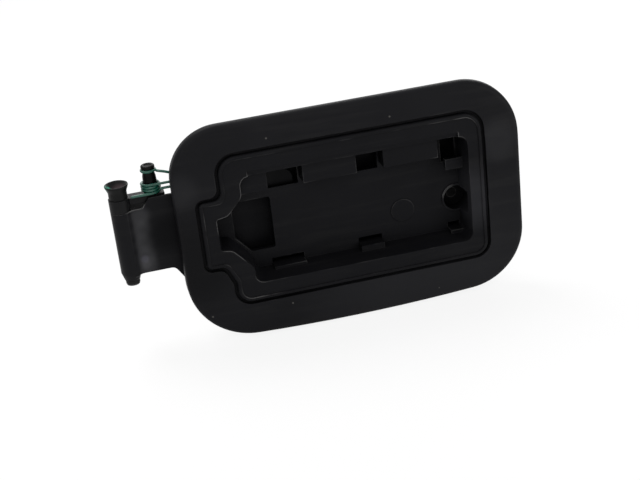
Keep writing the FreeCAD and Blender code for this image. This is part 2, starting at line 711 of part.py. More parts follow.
def make_carrier_tray():
    backing = crowned(
        "tray_backing",
        rectangle("flange_left + tab_hinge - backing_lap", f"{OPEN_FREE} + backing_lap",
                  f"{OPEN_BOTTOM} - backing_lap", f"{OPEN_TOP} + backing_lap"),
        ["open_top_round"] * 4, "flange_wall", BACKING_REAR,
    )
    behind_backing = f"{BACKING_REAR} - overlap"
    tub = prism(
        "tray_tub", "XZ_Plane", inset(RECESS_CORNERS, "0 - tray_wall"), RECESS_RADII,
        behind_backing, FLOOR_REAR,
    )
    sleeve = rod("cup_sleeve", "cup_bore + 2 * tray_wall", CUP_X, "cup_height", behind_backing, COVER_FRONT)
    posts = rods("arm_post", "screw_post", arm_screw_points(), f"{FLOOR_REAR} - overlap", PAD_REAR)
    posts += rods("cover_post", "screw_post", cover_screw_points(), f"{FLOOR_REAR} - overlap", COVER_FRONT)
    solid = fuse("tray_solid", [backing, tub, sleeve] + make_rim() + posts)
    recess = make_recess()
    hollow = cut("tray_hollow", solid, [recess, make_bevel()])
    lip = rod("cup_lip", "cup_bore + 2 * cup_wall", CUP_X, "cup_height",
              f"{FLOOR_FRONT} - cup_lip", FLOOR_CORE)
    gate = rod("gate_boss", "boss_diameter", f"{MIDDLE} + boss_shift", "boss_height",
               f"{FLOOR_FRONT} - boss_rise", FLOOR_CORE)
    bar = block(
        "free_bar",
        (f"{RECESS_FREE} - bar_width", f"{RECESS_FREE} + tray_wall / 2"),
        (f"{FRONT} + bar_front", f"{FRONT} + bar_front + bar_depth"),
        ("bar_bottom", "bar_bottom + bar_height"),
    )
    fitted = fuse("tray_fitted", [hollow, lip, gate, bar] + ledges() + hooks())
    cup_floor = f"{FRONT} + cup_floor"
    bore = rod("cup_hollow", "cup_bore", CUP_X, "cup_height", f"{FRONT} + cup_niche", cup_floor)
    latch_hole = rod("cup_hole", "latch_diameter", CUP_X, "cup_height", f"{cup_floor} - overlap",
                     f"{COVER_FRONT} + overlap")
    pilots = rods("arm_pilot", "screw_pilot", arm_screw_points(), f"{PAD_REAR} - arm_screw_length",
                  f"{PAD_REAR} + overlap")
    pilots += rods("cover_pilot", "screw_pilot", cover_screw_points(), f"{COVER_REAR} - cover_screw_length",
                   COVER_REAR)
    return cut("carrier_tray", fitted, [window_cutter(), bore, latch_hole] + floor_slots() + pilots)


def make_hinge_arm():
    front = f"{FRONT} + web_front"
    rear = f"{front} + web_wall"
    web_end = "flange_left + web_run"
    pad_start = f"{web_end} + joggle_run"
    pad_end = "flange_left + pad_end"
    section = [
        (HINGE_X, front),
        (web_end, front),
        (pad_start, FLOOR_REAR),
        (pad_end, FLOOR_REAR),
        (pad_end, PAD_REAR),
        (f"{pad_start} - web_wall / 3", PAD_REAR),
        (f"{web_end} - web_wall / 3", rear),
        (HINGE_X, rear),
    ]
    section_radii = [None, "arm_round", "arm_round", None, None, "arm_round", "arm_round", None]
    strip = prism("arm_strip", "XY_Plane", section, section_radii, "arm_foot", "arm_top")
    outline = [
        (HINGE_X, "web_bottom"),
        ("flange_left - flare_start", "web_bottom"),
        ("flange_left - flare_start + flare_run", "arm_foot"),
        (pad_end, "arm_foot"),
        (pad_end, "arm_top"),
        (f"{HINGE_X} + rise_start + rise_run", "arm_top"),
        (f"{HINGE_X} + rise_start", "barrel_top"),
        (HINGE_X, "barrel_top"),
    ]
    outline_radii = [None, "flare_round", "flare_round", "pad_round", "pad_round", None, None, None]
    blank = prism(
        "arm_blank", "XZ_Plane", outline, outline_radii, f"{front} - overlap", f"{PAD_REAR} + overlap",
    )
    barrel = turned("arm_barrel", [
        ("0", "barrel_bottom"),
        ("barrel_nose / 2", "barrel_bottom"),
        ("barrel_diameter / 2", "barrel_bottom + barrel_taper"),
        ("barrel_diameter / 2", "barrel_top"),
        ("0", "barrel_top"),
    ], HINGE_X, HINGE_Y, "0")
    bore = upright("arm_bore", "bush_diameter", HINGE_X, HINGE_Y,
                   "barrel_bottom - overlap", "barrel_top + overlap")
    through = (f"{FLOOR_REAR} - overlap", f"{PAD_REAR} + overlap")
    window = block(
        "arm_window", (f"{WINDOW_LEFT} - pad_window", f"{WINDOW_FREE} + pad_window"), through,
        (f"{WINDOW_BOTTOM} - pad_window", "window_top + pad_window"),
    )
    holes = rods("arm_hole", "screw_post", arm_screw_points(), *through)
    solid = fuse("arm_solid", [shared("arm_web", [strip, blank]), barrel])
    return cut("hinge_arm", solid, [bore, window] + holes)


def cover_ribs():
    """Ribs on the rear of the inner cover: upright ones along X and one across them."""
    behind = (f"{COVER_REAR} - cover_wall / 2", f"{COVER_REAR} + rib_rise")
    half = "rib_wall / 2"
    ribs = [
        block(
            f"cover_rib_{number}",
            (f"{MIDDLE} + {step} * rib_pitch - {half}", f"{MIDDLE} + {step} * rib_pitch + {half}"),
            behind, (f"{COVER_LOW} + rib_margin", f"{COVER_HIGH} - rib_margin"),
        )
        for number, step in enumerate(RIB_STEPS, start=1)
    ]
    ribs.append(block(
        "cover_cross_rib", (f"{COVER_LEFT} + rib_margin", f"{COVER_FREE} - rib_margin"),
        behind, (f"0 - {half}", half),
    ))
    return ribs


def make_inner_cover():
    outer = prism(
        "cover_outer", "XZ_Plane", rectangle(COVER_LEFT, COVER_FREE, COVER_LOW, COVER_HIGH),
        ["cover_round"] * 4, BACKING_REAR, COVER_REAR,
    )
    round_edges(outer, "cover_outer_edge", rim_edges(outer.Tip.Shape, 1), "cover_edge")
    core = prism(
        "cover_core", "XZ_Plane",
        rectangle(f"{COVER_LEFT} + cover_wall", f"{COVER_FREE} - cover_wall",
                  f"{COVER_LOW} + cover_wall", f"{COVER_HIGH} - cover_wall"),
        ["cover_round - cover_wall"] * 4, f"{BACKING_REAR} - overlap", COVER_FRONT,
    )
    notch = block(
        "cover_notch",
        (f"{COVER_LEFT} - overlap", f"{COVER_LEFT} + cover_wall + overlap"),
        (f"{BACKING_REAR} - overlap", f"{PAD_REAR} + overlap"),
        ("arm_foot - overlap", "arm_top + overlap"),
    )
    through = (f"{COVER_FRONT} - overlap", f"{COVER_REAR} + overlap")
    holes = rods("cover_hole", "screw_pilot", cover_screw_points(), *through)
    latch_hole = rod("cover_latch_hole", "latch_diameter", CUP_X, "cup_height", *through)
    return cut("inner_cover", fuse("cover_ribbed", [outer] + cover_ribs()), [core, notch, latch_hole] + holes)


def make_screws(name, points, seat, length):
    """Pan-head screws whose heads bear on a rear face."""
    profile = [
        ("0", f"0 - {length}"),
        ("screw_pilot / 2", f"0 - {length}"),
        ("screw_pilot / 2", "0"),
        ("screw_head / 2", "0"),
        ("screw_head / 2", "head_height / 2"),
        ("screw_head / 3", "head_height"),
        ("0", "head_height"),
    ]
    return group(name, [
        turned(f"{name}_{number}", profile, x, seat, z, ALONG_Y)
        for number, (x, z) in enumerate(points, start=1)
    ])


def make_latch_pin():
    catch_end = "latch_reach - latch_tip"
    catch_start = f"{catch_end} - latch_catch"
    profile = [
        ("0", "cup_floor - cover_rear"),
        ("latch_diameter / 2", "cup_floor - cover_rear"),
        ("latch_diameter / 2", "0"),
        ("latch_collar / 2", "0"),
        ("latch_collar / 2", "latch_step"),
        ("latch_diameter / 2", "latch_step"),
        ("latch_diameter / 2", f"{catch_start} - latch_slope"),
        ("latch_neck / 2", catch_start),
        ("latch_neck / 2", catch_end),
        ("latch_diameter / 2", f"{catch_end} + latch_slope"),
        ("latch_neck / 2", "latch_reach"),
        ("0", "latch_reach"),
    ]
    return turned("latch_pin", profile, CUP_X, COVER_REAR, "cup_height", ALONG_Y)


def make_bump_stops():
    profile = [
        ("0", "0"),
        ("stop_diameter / 2", "0"),
        ("stop_diameter / 2", "stop_height / 2"),
        ("stop_diameter / 3", "stop_height"),
        ("0", "stop_height"),
    ]
    return group("bump_stops", [
        turned(f"bump_stop_{number}", profile, f"{MIDDLE} + stop_shift", COVER_REAR,
               f"{side} * stop_rise", ALONG_Y)
        for number, side in enumerate((1, -1), start=1)
    ])


def make_bush(name, low, high):
    profile = [
        ("pin_diameter / 2 + running_gap", low),
        ("bush_diameter / 2", low),
        ("bush_diameter / 2", high),
        ("pin_diameter / 2 + running_gap", high),
    ]
    return turned(name, profile, HINGE_X, HINGE_Y, "0")


def make_hinge_bracket():
    plate = prism(
        "bracket_plate", "XZ_Plane", rectangle("plate_left", "plate_right", "plate_bottom", "plate_top"),
        ["plate_round"] * 4, "0 - plate_wall", "0",
    )
    crank = [
        ("0 - lug_front", "lug_top - lug_wall"),
        ("0 - lug_rear - lug_crank", "lug_top - lug_wall"),
        ("0 - plate_wall", "plate_top - lug_root"),
        ("0", "plate_top - lug_root"),
        ("0", "plate_top"),
        ("0 - lug_rear", "lug_top"),
        ("0 - lug_front", "lug_top"),
    ]
    crank_radii = [None, "lug_round", None, None, None, "lug_round", None]
    lug = prism("bracket_lug", "YZ_Plane", crank, crank_radii, HINGE_X, "lug_right")
    foot = block(
        "bracket_foot", (f"{HINGE_X} - foot_diameter / 2", f"{HINGE_X} + foot_diameter / 2"),
        (HINGE_Y, "0"), (FOOT_BOTTOM, FOOT_TOP),
    )
    knuckle = upright("bracket_knuckle", "barrel_diameter", HINGE_X, HINGE_Y, KNUCKLE_BOTTOM, KNUCKLE_TOP)
    ring = upright("bracket_ring", "foot_diameter", HINGE_X, HINGE_Y, FOOT_BOTTOM, FOOT_TOP)
    bore = upright("bracket_bore", "pin_diameter", HINGE_X, HINGE_Y, f"{FOOT_BOTTOM} - overlap",
                   f"{KNUCKLE_TOP} + overlap")
    corners = [
        (f"{side} * mount_pitch_x / 2", f"{rise} * mount_pitch_z / 2")
        for side in (-1, 1)
        for rise in (-1, 1)
    ]
    holes = rods("bracket_hole", "mount_hole", corners, "0 - plate_wall - overlap", "overlap")
    return cut("hinge_bracket", fuse("bracket_solid", [plate, lug, foot, knuckle, ring]), [bore] + holes)


def make_hinge_pin():
    shoulder = f"{KNUCKLE_TOP} + neck_length"
    head_top = f"{shoulder} + funnel_height"
    profile = [
        ("0", f"{FOOT_BOTTOM} - pin_tail"),
        ("pin_diameter / 2", f"{FOOT_BOTTOM} - pin_tail"),
        ("pin_diameter / 2", KNUCKLE_TOP),
        ("neck_diameter / 2", KNUCKLE_TOP),
        ("neck_diameter / 2", shoulder),
        ("funnel_diameter / 2", f"{head_top} - funnel_wall"),
        ("funnel_diameter / 2", head_top),
        ("funnel_diameter / 2 - funnel_wall", head_top),
        ("pin_diameter / 2", shoulder),
        ("0", shoulder),
    ]
    return turned("hinge_pin", profile, HINGE_X, HINGE_Y, "0")


def make_pin_clip():
    profile = [
        ("pin_diameter / 2", f"{FOOT_BOTTOM} - clip_wall"),
        ("clip_diameter / 2", f"{FOOT_BOTTOM} - clip_wall"),
        ("clip_diameter / 2", FOOT_BOTTOM),
        ("pin_diameter / 2", FOOT_BOTTOM),
    ]
    return turned("pin_clip", profile, HINGE_X, HINGE_Y, "0")


def make_spring_post():
    profile = [
        ("0", "0"),
        ("post_base / 2", "0"),
        ("post_neck / 2", "post_height"),
        ("post_head / 2", "post_height"),
        ("post_head / 2", "post_height + post_cap / 2"),
        ("post_neck / 2", "post_height + post_cap"),
        ("0", "post_height + post_cap"),
    ]
    return turned("spring_post", profile, "post_x", POST_Y, "lug_top")


def wire_turns(name, base):
    """Close turns of the spring wire about the post's foot, from the front round to the front."""
    helix = doc.addObject("Part::Helix", f"{name}_path")
    bind(helix, "Pitch", "coil_pitch")
    bind(helix, "Height", "coil_pitch * coil_turns")
    bind(helix, "Radius", "coil_radius")
    place(helix, "post_x", POST_Y, base, FROM_FRONT)
    section = doc.addObject("Part::RegularPolygon", f"{name}_section")
    section.Polygon = WIRE_SIDES
    bind(section, "Circumradius", "wire / 2")
    place(section, "post_x", f"{POST_Y} - coil_radius", base, ALONG_X)
    sweep = doc.addObject("Part::Sweep", name)
    sweep.Sections = [section]
    sweep.Spine = (helix, ["Edge1"])
    sweep.Solid = True
    sweep.Frenet = True
    return sweep


def wire_ring(name, z):
    """Closed turn of the spring wire about the post's neck."""
    angles = [360 / WIRE_SIDES * side for side in range(WIRE_SIDES)]
    profile = [(f"ring_radius + wire / 2 * cos({angle})", f"wire / 2 * sin({angle})") for angle in angles]
    return turned(name, profile, "post_x", POST_Y, z)


def wire_run(name, rotation, x, y, z, length):
    """Straight run of the spring wire."""
    run = doc.addObject("Part::Prism", name)
    run.Polygon = WIRE_SIDES
    bind(run, "Circumradius", "wire / 2 + wire_swell / 2")
    bind(run, "Height", length)
    place(run, x, y, z, rotation)
    return run


def make_hinge_spring():
    base = "(lug_top + wire / 2 + wire_swell + side_gap)"
    top = f"({base} + coil_pitch * coil_turns)"
    ring_height = "(lug_top + post_height - wire)"
    front = f"{POST_Y} - coil_radius"
    loop_low = f"({top} - loop_height)"
    riser_foot = f"({top} - coil_pitch)"
    return fuse("hinge_spring", [
        wire_turns("spring_turns", base),
        wire_ring("spring_ring", ring_height),
        wire_run("spring_tail", ALONG_X, "post_x - tail_length", front, base, "tail_length"),
        wire_run("loop_upper", ALONG_X, "post_x", front, top, "loop_length"),
        wire_run("loop_lower", ALONG_X, "post_x + loop_start", front, loop_low, "loop_length - loop_start"),
        wire_run("loop_end", ALONG_Z, "post_x + loop_length", front,
                 f"{loop_low} - wire / 2", "loop_height + wire"),
        wire_run("spring_riser", ALONG_Z, "post_x", f"{POST_Y} + riser_radius", riser_foot,
                 f"{ring_height} - {riser_foot}"),
        wire_run("spring_leg", ALONG_Y, "post_x + ring_radius", f"{POST_Y} - leg_length",
                 ring_height, "leg_length"),
    ])


def main():
    subparts = [
        make_flap_plate(),
        make_carrier_tray(),
        make_hinge_arm(),
        make_bush("upper_bush", "barrel_top - bush_length", "barrel_top"),
        make_bush("lower_bush", "barrel_bottom", "barrel_bottom + bush_length"),
        make_screws("arm_screws", arm_screw_points(), PAD_REAR, "arm_screw_length"),
        make_inner_cover(),
        make_screws("cover_screws", cover_screw_points(), COVER_REAR, "cover_screw_length"),
        make_latch_pin(),
        make_bump_stops(),
        make_hinge_bracket(),
        make_hinge_pin(),
        make_pin_clip(),
        make_spring_post(),
        make_hinge_spring(),
    ]
    doc.recompute()
    for item in doc.Objects:
        if {"Invalid", "Error"} & set(item.State):
            raise RuntimeError(f"{item.Label}: {item.State}")
    os.makedirs("parts", exist_ok=True)
    for subpart in subparts:
        shape = subpart.Shape
        if shape.isNull() or not shape.isValid() or not shape.Solids:
            raise RuntimeError(f"{subpart.Label}: no valid solid")
        shape.exportStep(f"parts/{subpart.Label}.step")
        print(f"{subpart.Label}: {len(shape.Solids)} solid(s), {shape.Volume / 1000:.2f} cm3")


main()
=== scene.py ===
import json
import math

import bmesh
import bpy
from bpy.props import FloatProperty, FloatVectorProperty, IntProperty, PointerProperty
from mathutils import Matrix, Vector


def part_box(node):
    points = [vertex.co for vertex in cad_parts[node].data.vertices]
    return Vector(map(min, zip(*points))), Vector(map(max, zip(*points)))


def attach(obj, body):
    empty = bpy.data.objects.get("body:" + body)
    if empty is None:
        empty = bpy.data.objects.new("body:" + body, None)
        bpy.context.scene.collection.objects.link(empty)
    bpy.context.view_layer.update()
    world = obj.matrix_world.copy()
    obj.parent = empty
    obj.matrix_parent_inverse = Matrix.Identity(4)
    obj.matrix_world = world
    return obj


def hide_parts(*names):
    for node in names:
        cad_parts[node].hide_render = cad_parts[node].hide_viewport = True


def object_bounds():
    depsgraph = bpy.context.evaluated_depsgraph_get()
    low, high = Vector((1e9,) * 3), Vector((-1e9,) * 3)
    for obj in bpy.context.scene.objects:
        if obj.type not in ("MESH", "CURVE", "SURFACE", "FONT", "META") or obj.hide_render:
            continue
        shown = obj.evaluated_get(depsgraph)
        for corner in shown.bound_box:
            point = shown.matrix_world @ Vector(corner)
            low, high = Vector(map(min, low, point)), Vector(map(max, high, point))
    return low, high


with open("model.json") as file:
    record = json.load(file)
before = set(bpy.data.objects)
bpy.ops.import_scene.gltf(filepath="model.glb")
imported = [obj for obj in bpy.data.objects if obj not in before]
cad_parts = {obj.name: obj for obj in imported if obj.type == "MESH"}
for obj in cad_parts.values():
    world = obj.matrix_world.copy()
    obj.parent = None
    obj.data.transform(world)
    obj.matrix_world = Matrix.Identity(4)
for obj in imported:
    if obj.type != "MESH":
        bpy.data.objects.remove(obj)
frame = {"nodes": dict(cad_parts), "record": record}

bl_info = {
    "name": "Fuel Filler Flap Unit",
    "version": (1, 1, 0),
    "blender": (4, 5, 0),
    "location": "View3D > Sidebar > Flap Unit",
    "description": "Dresses the packed flap unit: moulded plastics, spring wire, screws and a studio stage",
    "category": "Object",
}

CAD_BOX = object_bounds()
MM = 0.001
PHOTO_WIDTH = 640
WHITE = (1.0, 1.0, 1.0, 1.0)
UPRIGHT = Matrix.Identity(4)
REARWARD = Matrix.Rotation(math.radians(-90), 4, "X")

# Steps round a turned piece, in each arc of the web's hollow and in one turn of the spring.
TURN_STEPS = 48
ARC_STEPS = 10
COIL_STEPS = 16
# Lobes of a screw's recess.
LOBES = 6
# Angles past which an edge of a round piece, or of the arm, stays sharp.
ROUND_CREASE = math.radians(42)
ARM_CREASE = math.radians(30)

# The hollow leaves the barrel's skin between these angles, and clears it by this much.
BARREL_START = math.radians(20)
BARREL_LEAVE = math.radians(50)
SKIN_CLEARANCE = 0.15 * MM

# Millimetres up the hinge pin's shank, and of a screw's head.
PIN_SHANK = 52.5
SCREW_HEAD_RADIUS = 3.2
SCREW_HEAD_HEIGHT = 1.8

# The spring's lowest turn stands off by the lift, and its ring lies under the post's head.
COIL_LIFT = 0.05 * MM
POST_HEAD = 2.2 * MM
# Height of the loop at the spring's side, and the length of its bends.
LOOP_DROP = 2.9 * MM
LOOP_BEND = 1.2 * MM

# Sockets of the Mix node when it mixes colours.
MIX_SHARE = 0
MIX_UNDER = 6
MIX_OVER = 7
MIX_RESULT = 2

# Shares of a radius at which a mark, or a place with a painted edge highlight, reaches its full strength.
MARK_CORE = 0.3
HIGHLIGHT_CORE = 0.5

WORLD_STRENGTH = 0.45
FLOOR_HALF = 3.0
FLOOR_GAP = 0.5 * MM
# Share of white in the floor that the camera sees; the rest takes the shadow.
FLOOR_WHITE = 0.86
# Soft lamps: a name, a place from the target in metres, a side in metres and the setting with its power.
LAMPS = (
    ("Key softbox", (-0.35, -0.95, 0.75), 0.8, "key_power"),
    ("Fill softbox", (0.8, -0.75, 0.2), 0.4, "fill_power"),
    ("Top softbox", (-0.2, 0.4, 0.9), 0.5, "top_power"),
    ("Rear softbox", (0.4, 0.95, 0.35), 0.8, "rear_power"),
)


def linear(hex_colour):
    """Linear colour of an sRGB hex value."""
    channels = [int(hex_colour[place:place + 2], 16) / 255 for place in (1, 3, 5)]
    return tuple(c / 12.92 if c <= 0.04045 else ((c + 0.055) / 1.055) ** 2.4 for c in channels)


# Painted highlights and painted shade on the flange: lighter patches at its upper right, upper left and lower
# part and a darker patch at its left, each a place and radius in mm, a colour and a strength.
FLANGE_PAINTED_LIGHT = (
    ((195, -32, 27), 17, linear("#3c3c3e"), 0.2),
    ((12, -32, 31), 14, linear("#2e2e30"), 0.3),
    ((150, -32, -70), 95, linear("#262628"), 0.55),
    ((14, -32, -10), 40, linear("#0b0b0c"), 0.6),
)
# Larger specks on the flange, as (x, z) in mm.
FLANGE_SPECKS = ((133.6, 51.9), (63.3, 52.4), (66.1, -48.2), (19.4, -46.6))
SPECK_RADIUS = 0.75
SPECK_STRENGTH = 0.14
# Places and radii in mm where the painted highlight on the tray's edges is full,
# and a painted light tone on its rim at the free end.
TRAY_EDGE_HIGHLIGHTS = (
    ((45, -33, 29), 10),
    ((31, -33, 12), 11),
    ((37, -33, -11), 9),
    ((46, -33, -35), 10),
    ((175, -33, 39), 9),
    ((167, -17, -4), 6),
)
TRAY_PAINTED_LIGHT = (((176, -33, -5), 26, linear("#2c2c2f"), 0.55),)
# A painted highlight band on the web beside the barrel, painted shade beyond it and on the pad,
# and two lighter spots low down.
BAND_HEIGHTS = (17, 9, 1, -7, -13)
ARM_PAINTED_LIGHT_AND_SPOTS = tuple(((-11.0, -19.4, height), 8, linear("#424244"), 0.42) for height in BAND_HEIGHTS) + (
    ((2.0, -19.4, 4.0), 16, linear("#08080a"), 0.85),
    ((72.5, -13.0, 21.6), 14, linear("#050506"), 0.9),
    ((-11.9, -19.4, -8.8), 3.2, linear("#63616f"), 0.2),
    ((-11.6, -19.4, -12.6), 3.6, linear("#525154"), 0.26),
)
# A painted highlight along the edge of the web's step.
ARM_EDGE_HIGHLIGHT = (((-12.4, -19.4, 20.2), 8),)
# Painted light in the pin's hollow head, placed from the middle of its top: a warm lit floor,
# then a painted green reflection with a glint at one side.
HEAD_PAINTED_REFLECTIONS = (
    ((0.8, 0.6, -2.4), 5.0, linear("#524548"), 0.8),
    ((-5.2, -0.8, -0.3), 3.8, linear("#0f4a3b"), 1.0),
    ((-3.4, 0.2, -1.8), 2.6, linear("#45b896"), 0.9),
)


class FlapFinish(bpy.types.PropertyGroup):
    """Colours of the flap unit's materials."""

    flange_colour: FloatVectorProperty(
        name="Flange", description="Outer flange moulding", subtype="COLOR", default=linear("#161618"))
    tray_colour: FloatVectorProperty(
        name="Tray", description="Carrier tray and inner cover", subtype="COLOR", default=linear("#121214"))
    arm_colour: FloatVectorProperty(
        name="Arm", description="Hinge arm", subtype="COLOR", default=linear("#141416"))
    bracket_colour: FloatVectorProperty(
        name="Bracket", description="Hinge bracket", subtype="COLOR", default=linear("#121213"))
    # The spring post takes this colour at half the lightness, as painted shade.
    pin_colour: FloatVectorProperty(
        name="Pins", description="Hinge pin and latch pin, and at half the lightness the spring post",
        subtype="COLOR", default=linear("#131313"))
    spring_colour: FloatVectorProperty(
        name="Spring", description="Coating of the spring wire", subtype="COLOR", default=linear("#0c5141"))
    bush_colour: FloatVectorProperty(
        name="Bushes", description="Hinge bushes", subtype="COLOR", default=linear("#d5d2c6"))
    steel_colour: FloatVectorProperty(
        name="Screws", description="Blackened screws and retaining ring", subtype="COLOR",
        default=linear("#4a4a4d"))
    rubber_colour: FloatVectorProperty(
        name="Buffers", description="Rubber buffers", subtype="COLOR", default=linear("#161616"))
    dust_colour: FloatVectorProperty(
        name="Dust", description="Specks and haze on the plastic", subtype="COLOR", default=linear("#b4b1aa"))
    # Colour of the painted highlight along convex edges.
    edge_highlight_colour: FloatVectorProperty(
        name="Pale edges", description="Plastic along its pale edges", subtype="COLOR",
        default=linear("#6f6e6d"))


class FlapDetail(bpy.types.PropertyGroup):
    """Sizes of the pieces that the scene makes."""

    edge_round: FloatProperty(
        name="Edge round", description="Small round of moulded edges", unit="LENGTH", default=0.5 * MM)
    wire: FloatProperty(
        name="Spring wire", description="Wire diameter", unit="LENGTH", default=1.55 * MM)
    coil_radius: FloatProperty(
        name="Coil radius", description="Middle of the spring's turns", unit="LENGTH", default=5.0 * MM)
    coil_pitch: FloatProperty(
        name="Coil pitch", description="Rise of one turn", unit="LENGTH", default=1.65 * MM)
    close_turns: IntProperty(name="Close turns", description="Turns at the spring's foot", default=3)
    web_front: FloatProperty(
        name="Web face", description="Hinge axis to the web's front face", unit="LENGTH", default=2.4 * MM)
    web_run: FloatProperty(
        name="Web run", description="Hinge axis to the end of the set-back face", unit="LENGTH",
        default=36.0 * MM)
    ring_radius: FloatProperty(
        name="Ring radius", description="Turn under the post's head", unit="LENGTH", default=3.85 * MM)


class FlapStage(bpy.types.PropertyGroup):
    """Camera and light."""

    lens_pixels: FloatProperty(
        name="Lens", description="Focal length in pixels of the photograph", default=1350.0)
    azimuth: FloatProperty(
        name="Azimuth", description="Camera's turn about the upright axis", subtype="ANGLE",
        default=math.radians(-11.048))
    elevation: FloatProperty(
        name="Elevation", description="Camera's height angle", subtype="ANGLE", default=math.radians(24.488))
    roll: FloatProperty(
        name="Roll", description="Camera's turn about its own axis", subtype="ANGLE",
        default=math.radians(-6.624))
    distance: FloatProperty(
        name="Distance", description="Camera to the target", unit="LENGTH", default=0.7637)
    target: FloatVectorProperty(
        name="Target", description="Point at the middle of the picture", unit="LENGTH",
        default=(0.0860, -0.032, -0.01245))
    key_power: FloatProperty(name="Key", description="Power of the key light", unit="POWER", default=4.0)
    fill_power: FloatProperty(name="Fill", description="Power of the fill light", unit="POWER", default=3.0)
    top_power: FloatProperty(name="Top", description="Power of the top light", unit="POWER", default=7.0)
    rear_power: FloatProperty(name="Rear", description="Power of the rear light", unit="POWER", default=4.0)


def finish_of(context):
    return context.scene.flap_finish


def detail_of(context):
    return context.scene.flap_detail


def add_node(tree, kind, settings=None, links=None):
    """Add one node, set its properties or input values by name, and link its inputs from other outputs."""
    node = tree.nodes.new(kind)
    for name, setting in (settings or {}).items():
        if isinstance(name, int) or name in node.inputs:
            node.inputs[name].default_value = setting
        else:
            setattr(node, name, setting)
    for name, output in (links or {}).items():
        tree.links.new(output, node.inputs[name])
    return node


def new_material(name):
    material = bpy.data.materials.new(name)
    material.use_nodes = True
    material.node_tree.nodes.clear()
    return material, material.node_tree


def close_material(tree, shader):
    add_node(tree, "ShaderNodeOutputMaterial", links={"Surface": shader.outputs["BSDF"]})


def opaque(colour):
    return (*colour[:3], 1.0)


def scaled(colour, factor):
    return tuple(channel * factor for channel in colour[:3])


def nearness(tree, place, spot, radius, core, strength):
    """Output that rises from none at a radius in mm round a spot to the strength at a share of it."""
    away = add_node(tree, "ShaderNodeVectorMath", {"operation": "DISTANCE", 1: Vector(spot) * MM}, {0: place})
    near = add_node(tree, "ShaderNodeMapRange",
                    {"interpolation_type": "SMOOTHSTEP", "From Min": radius * MM,
                     "From Max": core * radius * MM, "To Min": 0.0, "To Max": strength},
                    {"Value": away.outputs["Value"]})
    return near.outputs["Result"]


def dusted(tree, place, under, dust_colour, share):
    """Colour with faint haze over it, and a speck in a share of the cells."""
    # The haze runs along the part, in streaks about 60 mm long and 5 mm apart.
    stretch = add_node(tree, "ShaderNodeMapping",
                       {"Scale": (1.0 / (60 * MM), 1.0 / (5 * MM), 1.0 / (5 * MM))}, {"Vector": place})
    streaks = add_node(tree, "ShaderNodeTexNoise", {"Scale": 1.0, "Detail": 4.0, "Roughness": 0.6},
                       {"Vector": stretch.outputs["Vector"]})
    haze = add_node(tree, "ShaderNodeMapRange",
                    {"From Min": 0.5, "From Max": 0.85, "To Min": 0.0, "To Max": 0.012},
                    {"Value": streaks.outputs["Fac"]})
    # A cell is about 11 mm, and a speck near 0.9 mm across.
    cells = add_node(tree, "ShaderNodeTexVoronoi", {"Scale": 1.0 / (11 * MM)}, {"Vector": place})
    speck = add_node(tree, "ShaderNodeMapRange",
                     {"From Min": 0.05, "From Max": 0.025, "To Min": 0.0, "To Max": 0.8},
                     {"Value": cells.outputs["Distance"]})
    chosen = add_node(tree, "ShaderNodeSeparateColor", links={"Color": cells.outputs["Color"]})
    few = add_node(tree, "ShaderNodeMath", {"operation": "GREATER_THAN", 1: 1.0 - share},
                   {0: chosen.outputs["Red"]})
    specks = add_node(tree, "ShaderNodeMath", {"operation": "MULTIPLY"},
                      {0: speck.outputs["Result"], 1: few.outputs["Value"]})
    cover = add_node(tree, "ShaderNodeMath", {"operation": "MAXIMUM"},
                     {0: specks.outputs["Value"], 1: haze.outputs["Result"]})
    dusty = add_node(tree, "ShaderNodeMix", {"data_type": "RGBA", MIX_OVER: opaque(dust_colour)},
                     {MIX_SHARE: cover.outputs["Value"], MIX_UNDER: under})
    return dusty.outputs[MIX_RESULT]


def painted_edge_highlight(tree, place, strength, highlight_places):
    """Output for a painted highlight on convex edges: uneven along them, and full round the highlight places.
    """
    # The painted highlight line is about 0.9 mm wide and comes and goes over about 17 mm.
    edges = add_node(tree, "ShaderNodeAmbientOcclusion",
                     {"samples": 8, "inside": True, "only_local": True, "Distance": 0.9 * MM})
    line = add_node(tree, "ShaderNodeMapRange",
                    {"From Min": 0.86, "From Max": 0.55, "To Min": 0.0, "To Max": strength},
                    {"Value": edges.outputs["AO"]})
    uneven = add_node(tree, "ShaderNodeTexNoise", {"Scale": 1.0 / (17 * MM), "Detail": 3.0},
                      {"Vector": place})
    patches = add_node(tree, "ShaderNodeMapRange", {"From Min": 0.5, "From Max": 0.72, "To Max": 0.5},
                       {"Value": uneven.outputs["Fac"]})
    palest = patches.outputs["Result"]
    for spot, radius in highlight_places:
        near = nearness(tree, place, spot, radius, HIGHLIGHT_CORE, 1.0)
        either = add_node(tree, "ShaderNodeMath", {"operation": "MAXIMUM"}, {0: palest, 1: near})
        palest = either.outputs["Value"]
    pale = add_node(tree, "ShaderNodeMath", {"operation": "MULTIPLY"},
                    {0: line.outputs["Result"], 1: palest})
    return pale.outputs["Value"]


def painted_pocket_shade(tree):
    """Output for painted shade, rising in deep corners and pockets, as far as 30 mm from their walls."""
    hollows = add_node(tree, "ShaderNodeAmbientOcclusion", {"samples": 6, "Distance": 30 * MM})
    depth = add_node(tree, "ShaderNodeMapRange",
                     {"From Min": 0.55, "From Max": 0.28, "To Min": 0.0, "To Max": 0.72},
                     {"Value": hollows.outputs["AO"]})
    return depth.outputs["Result"]


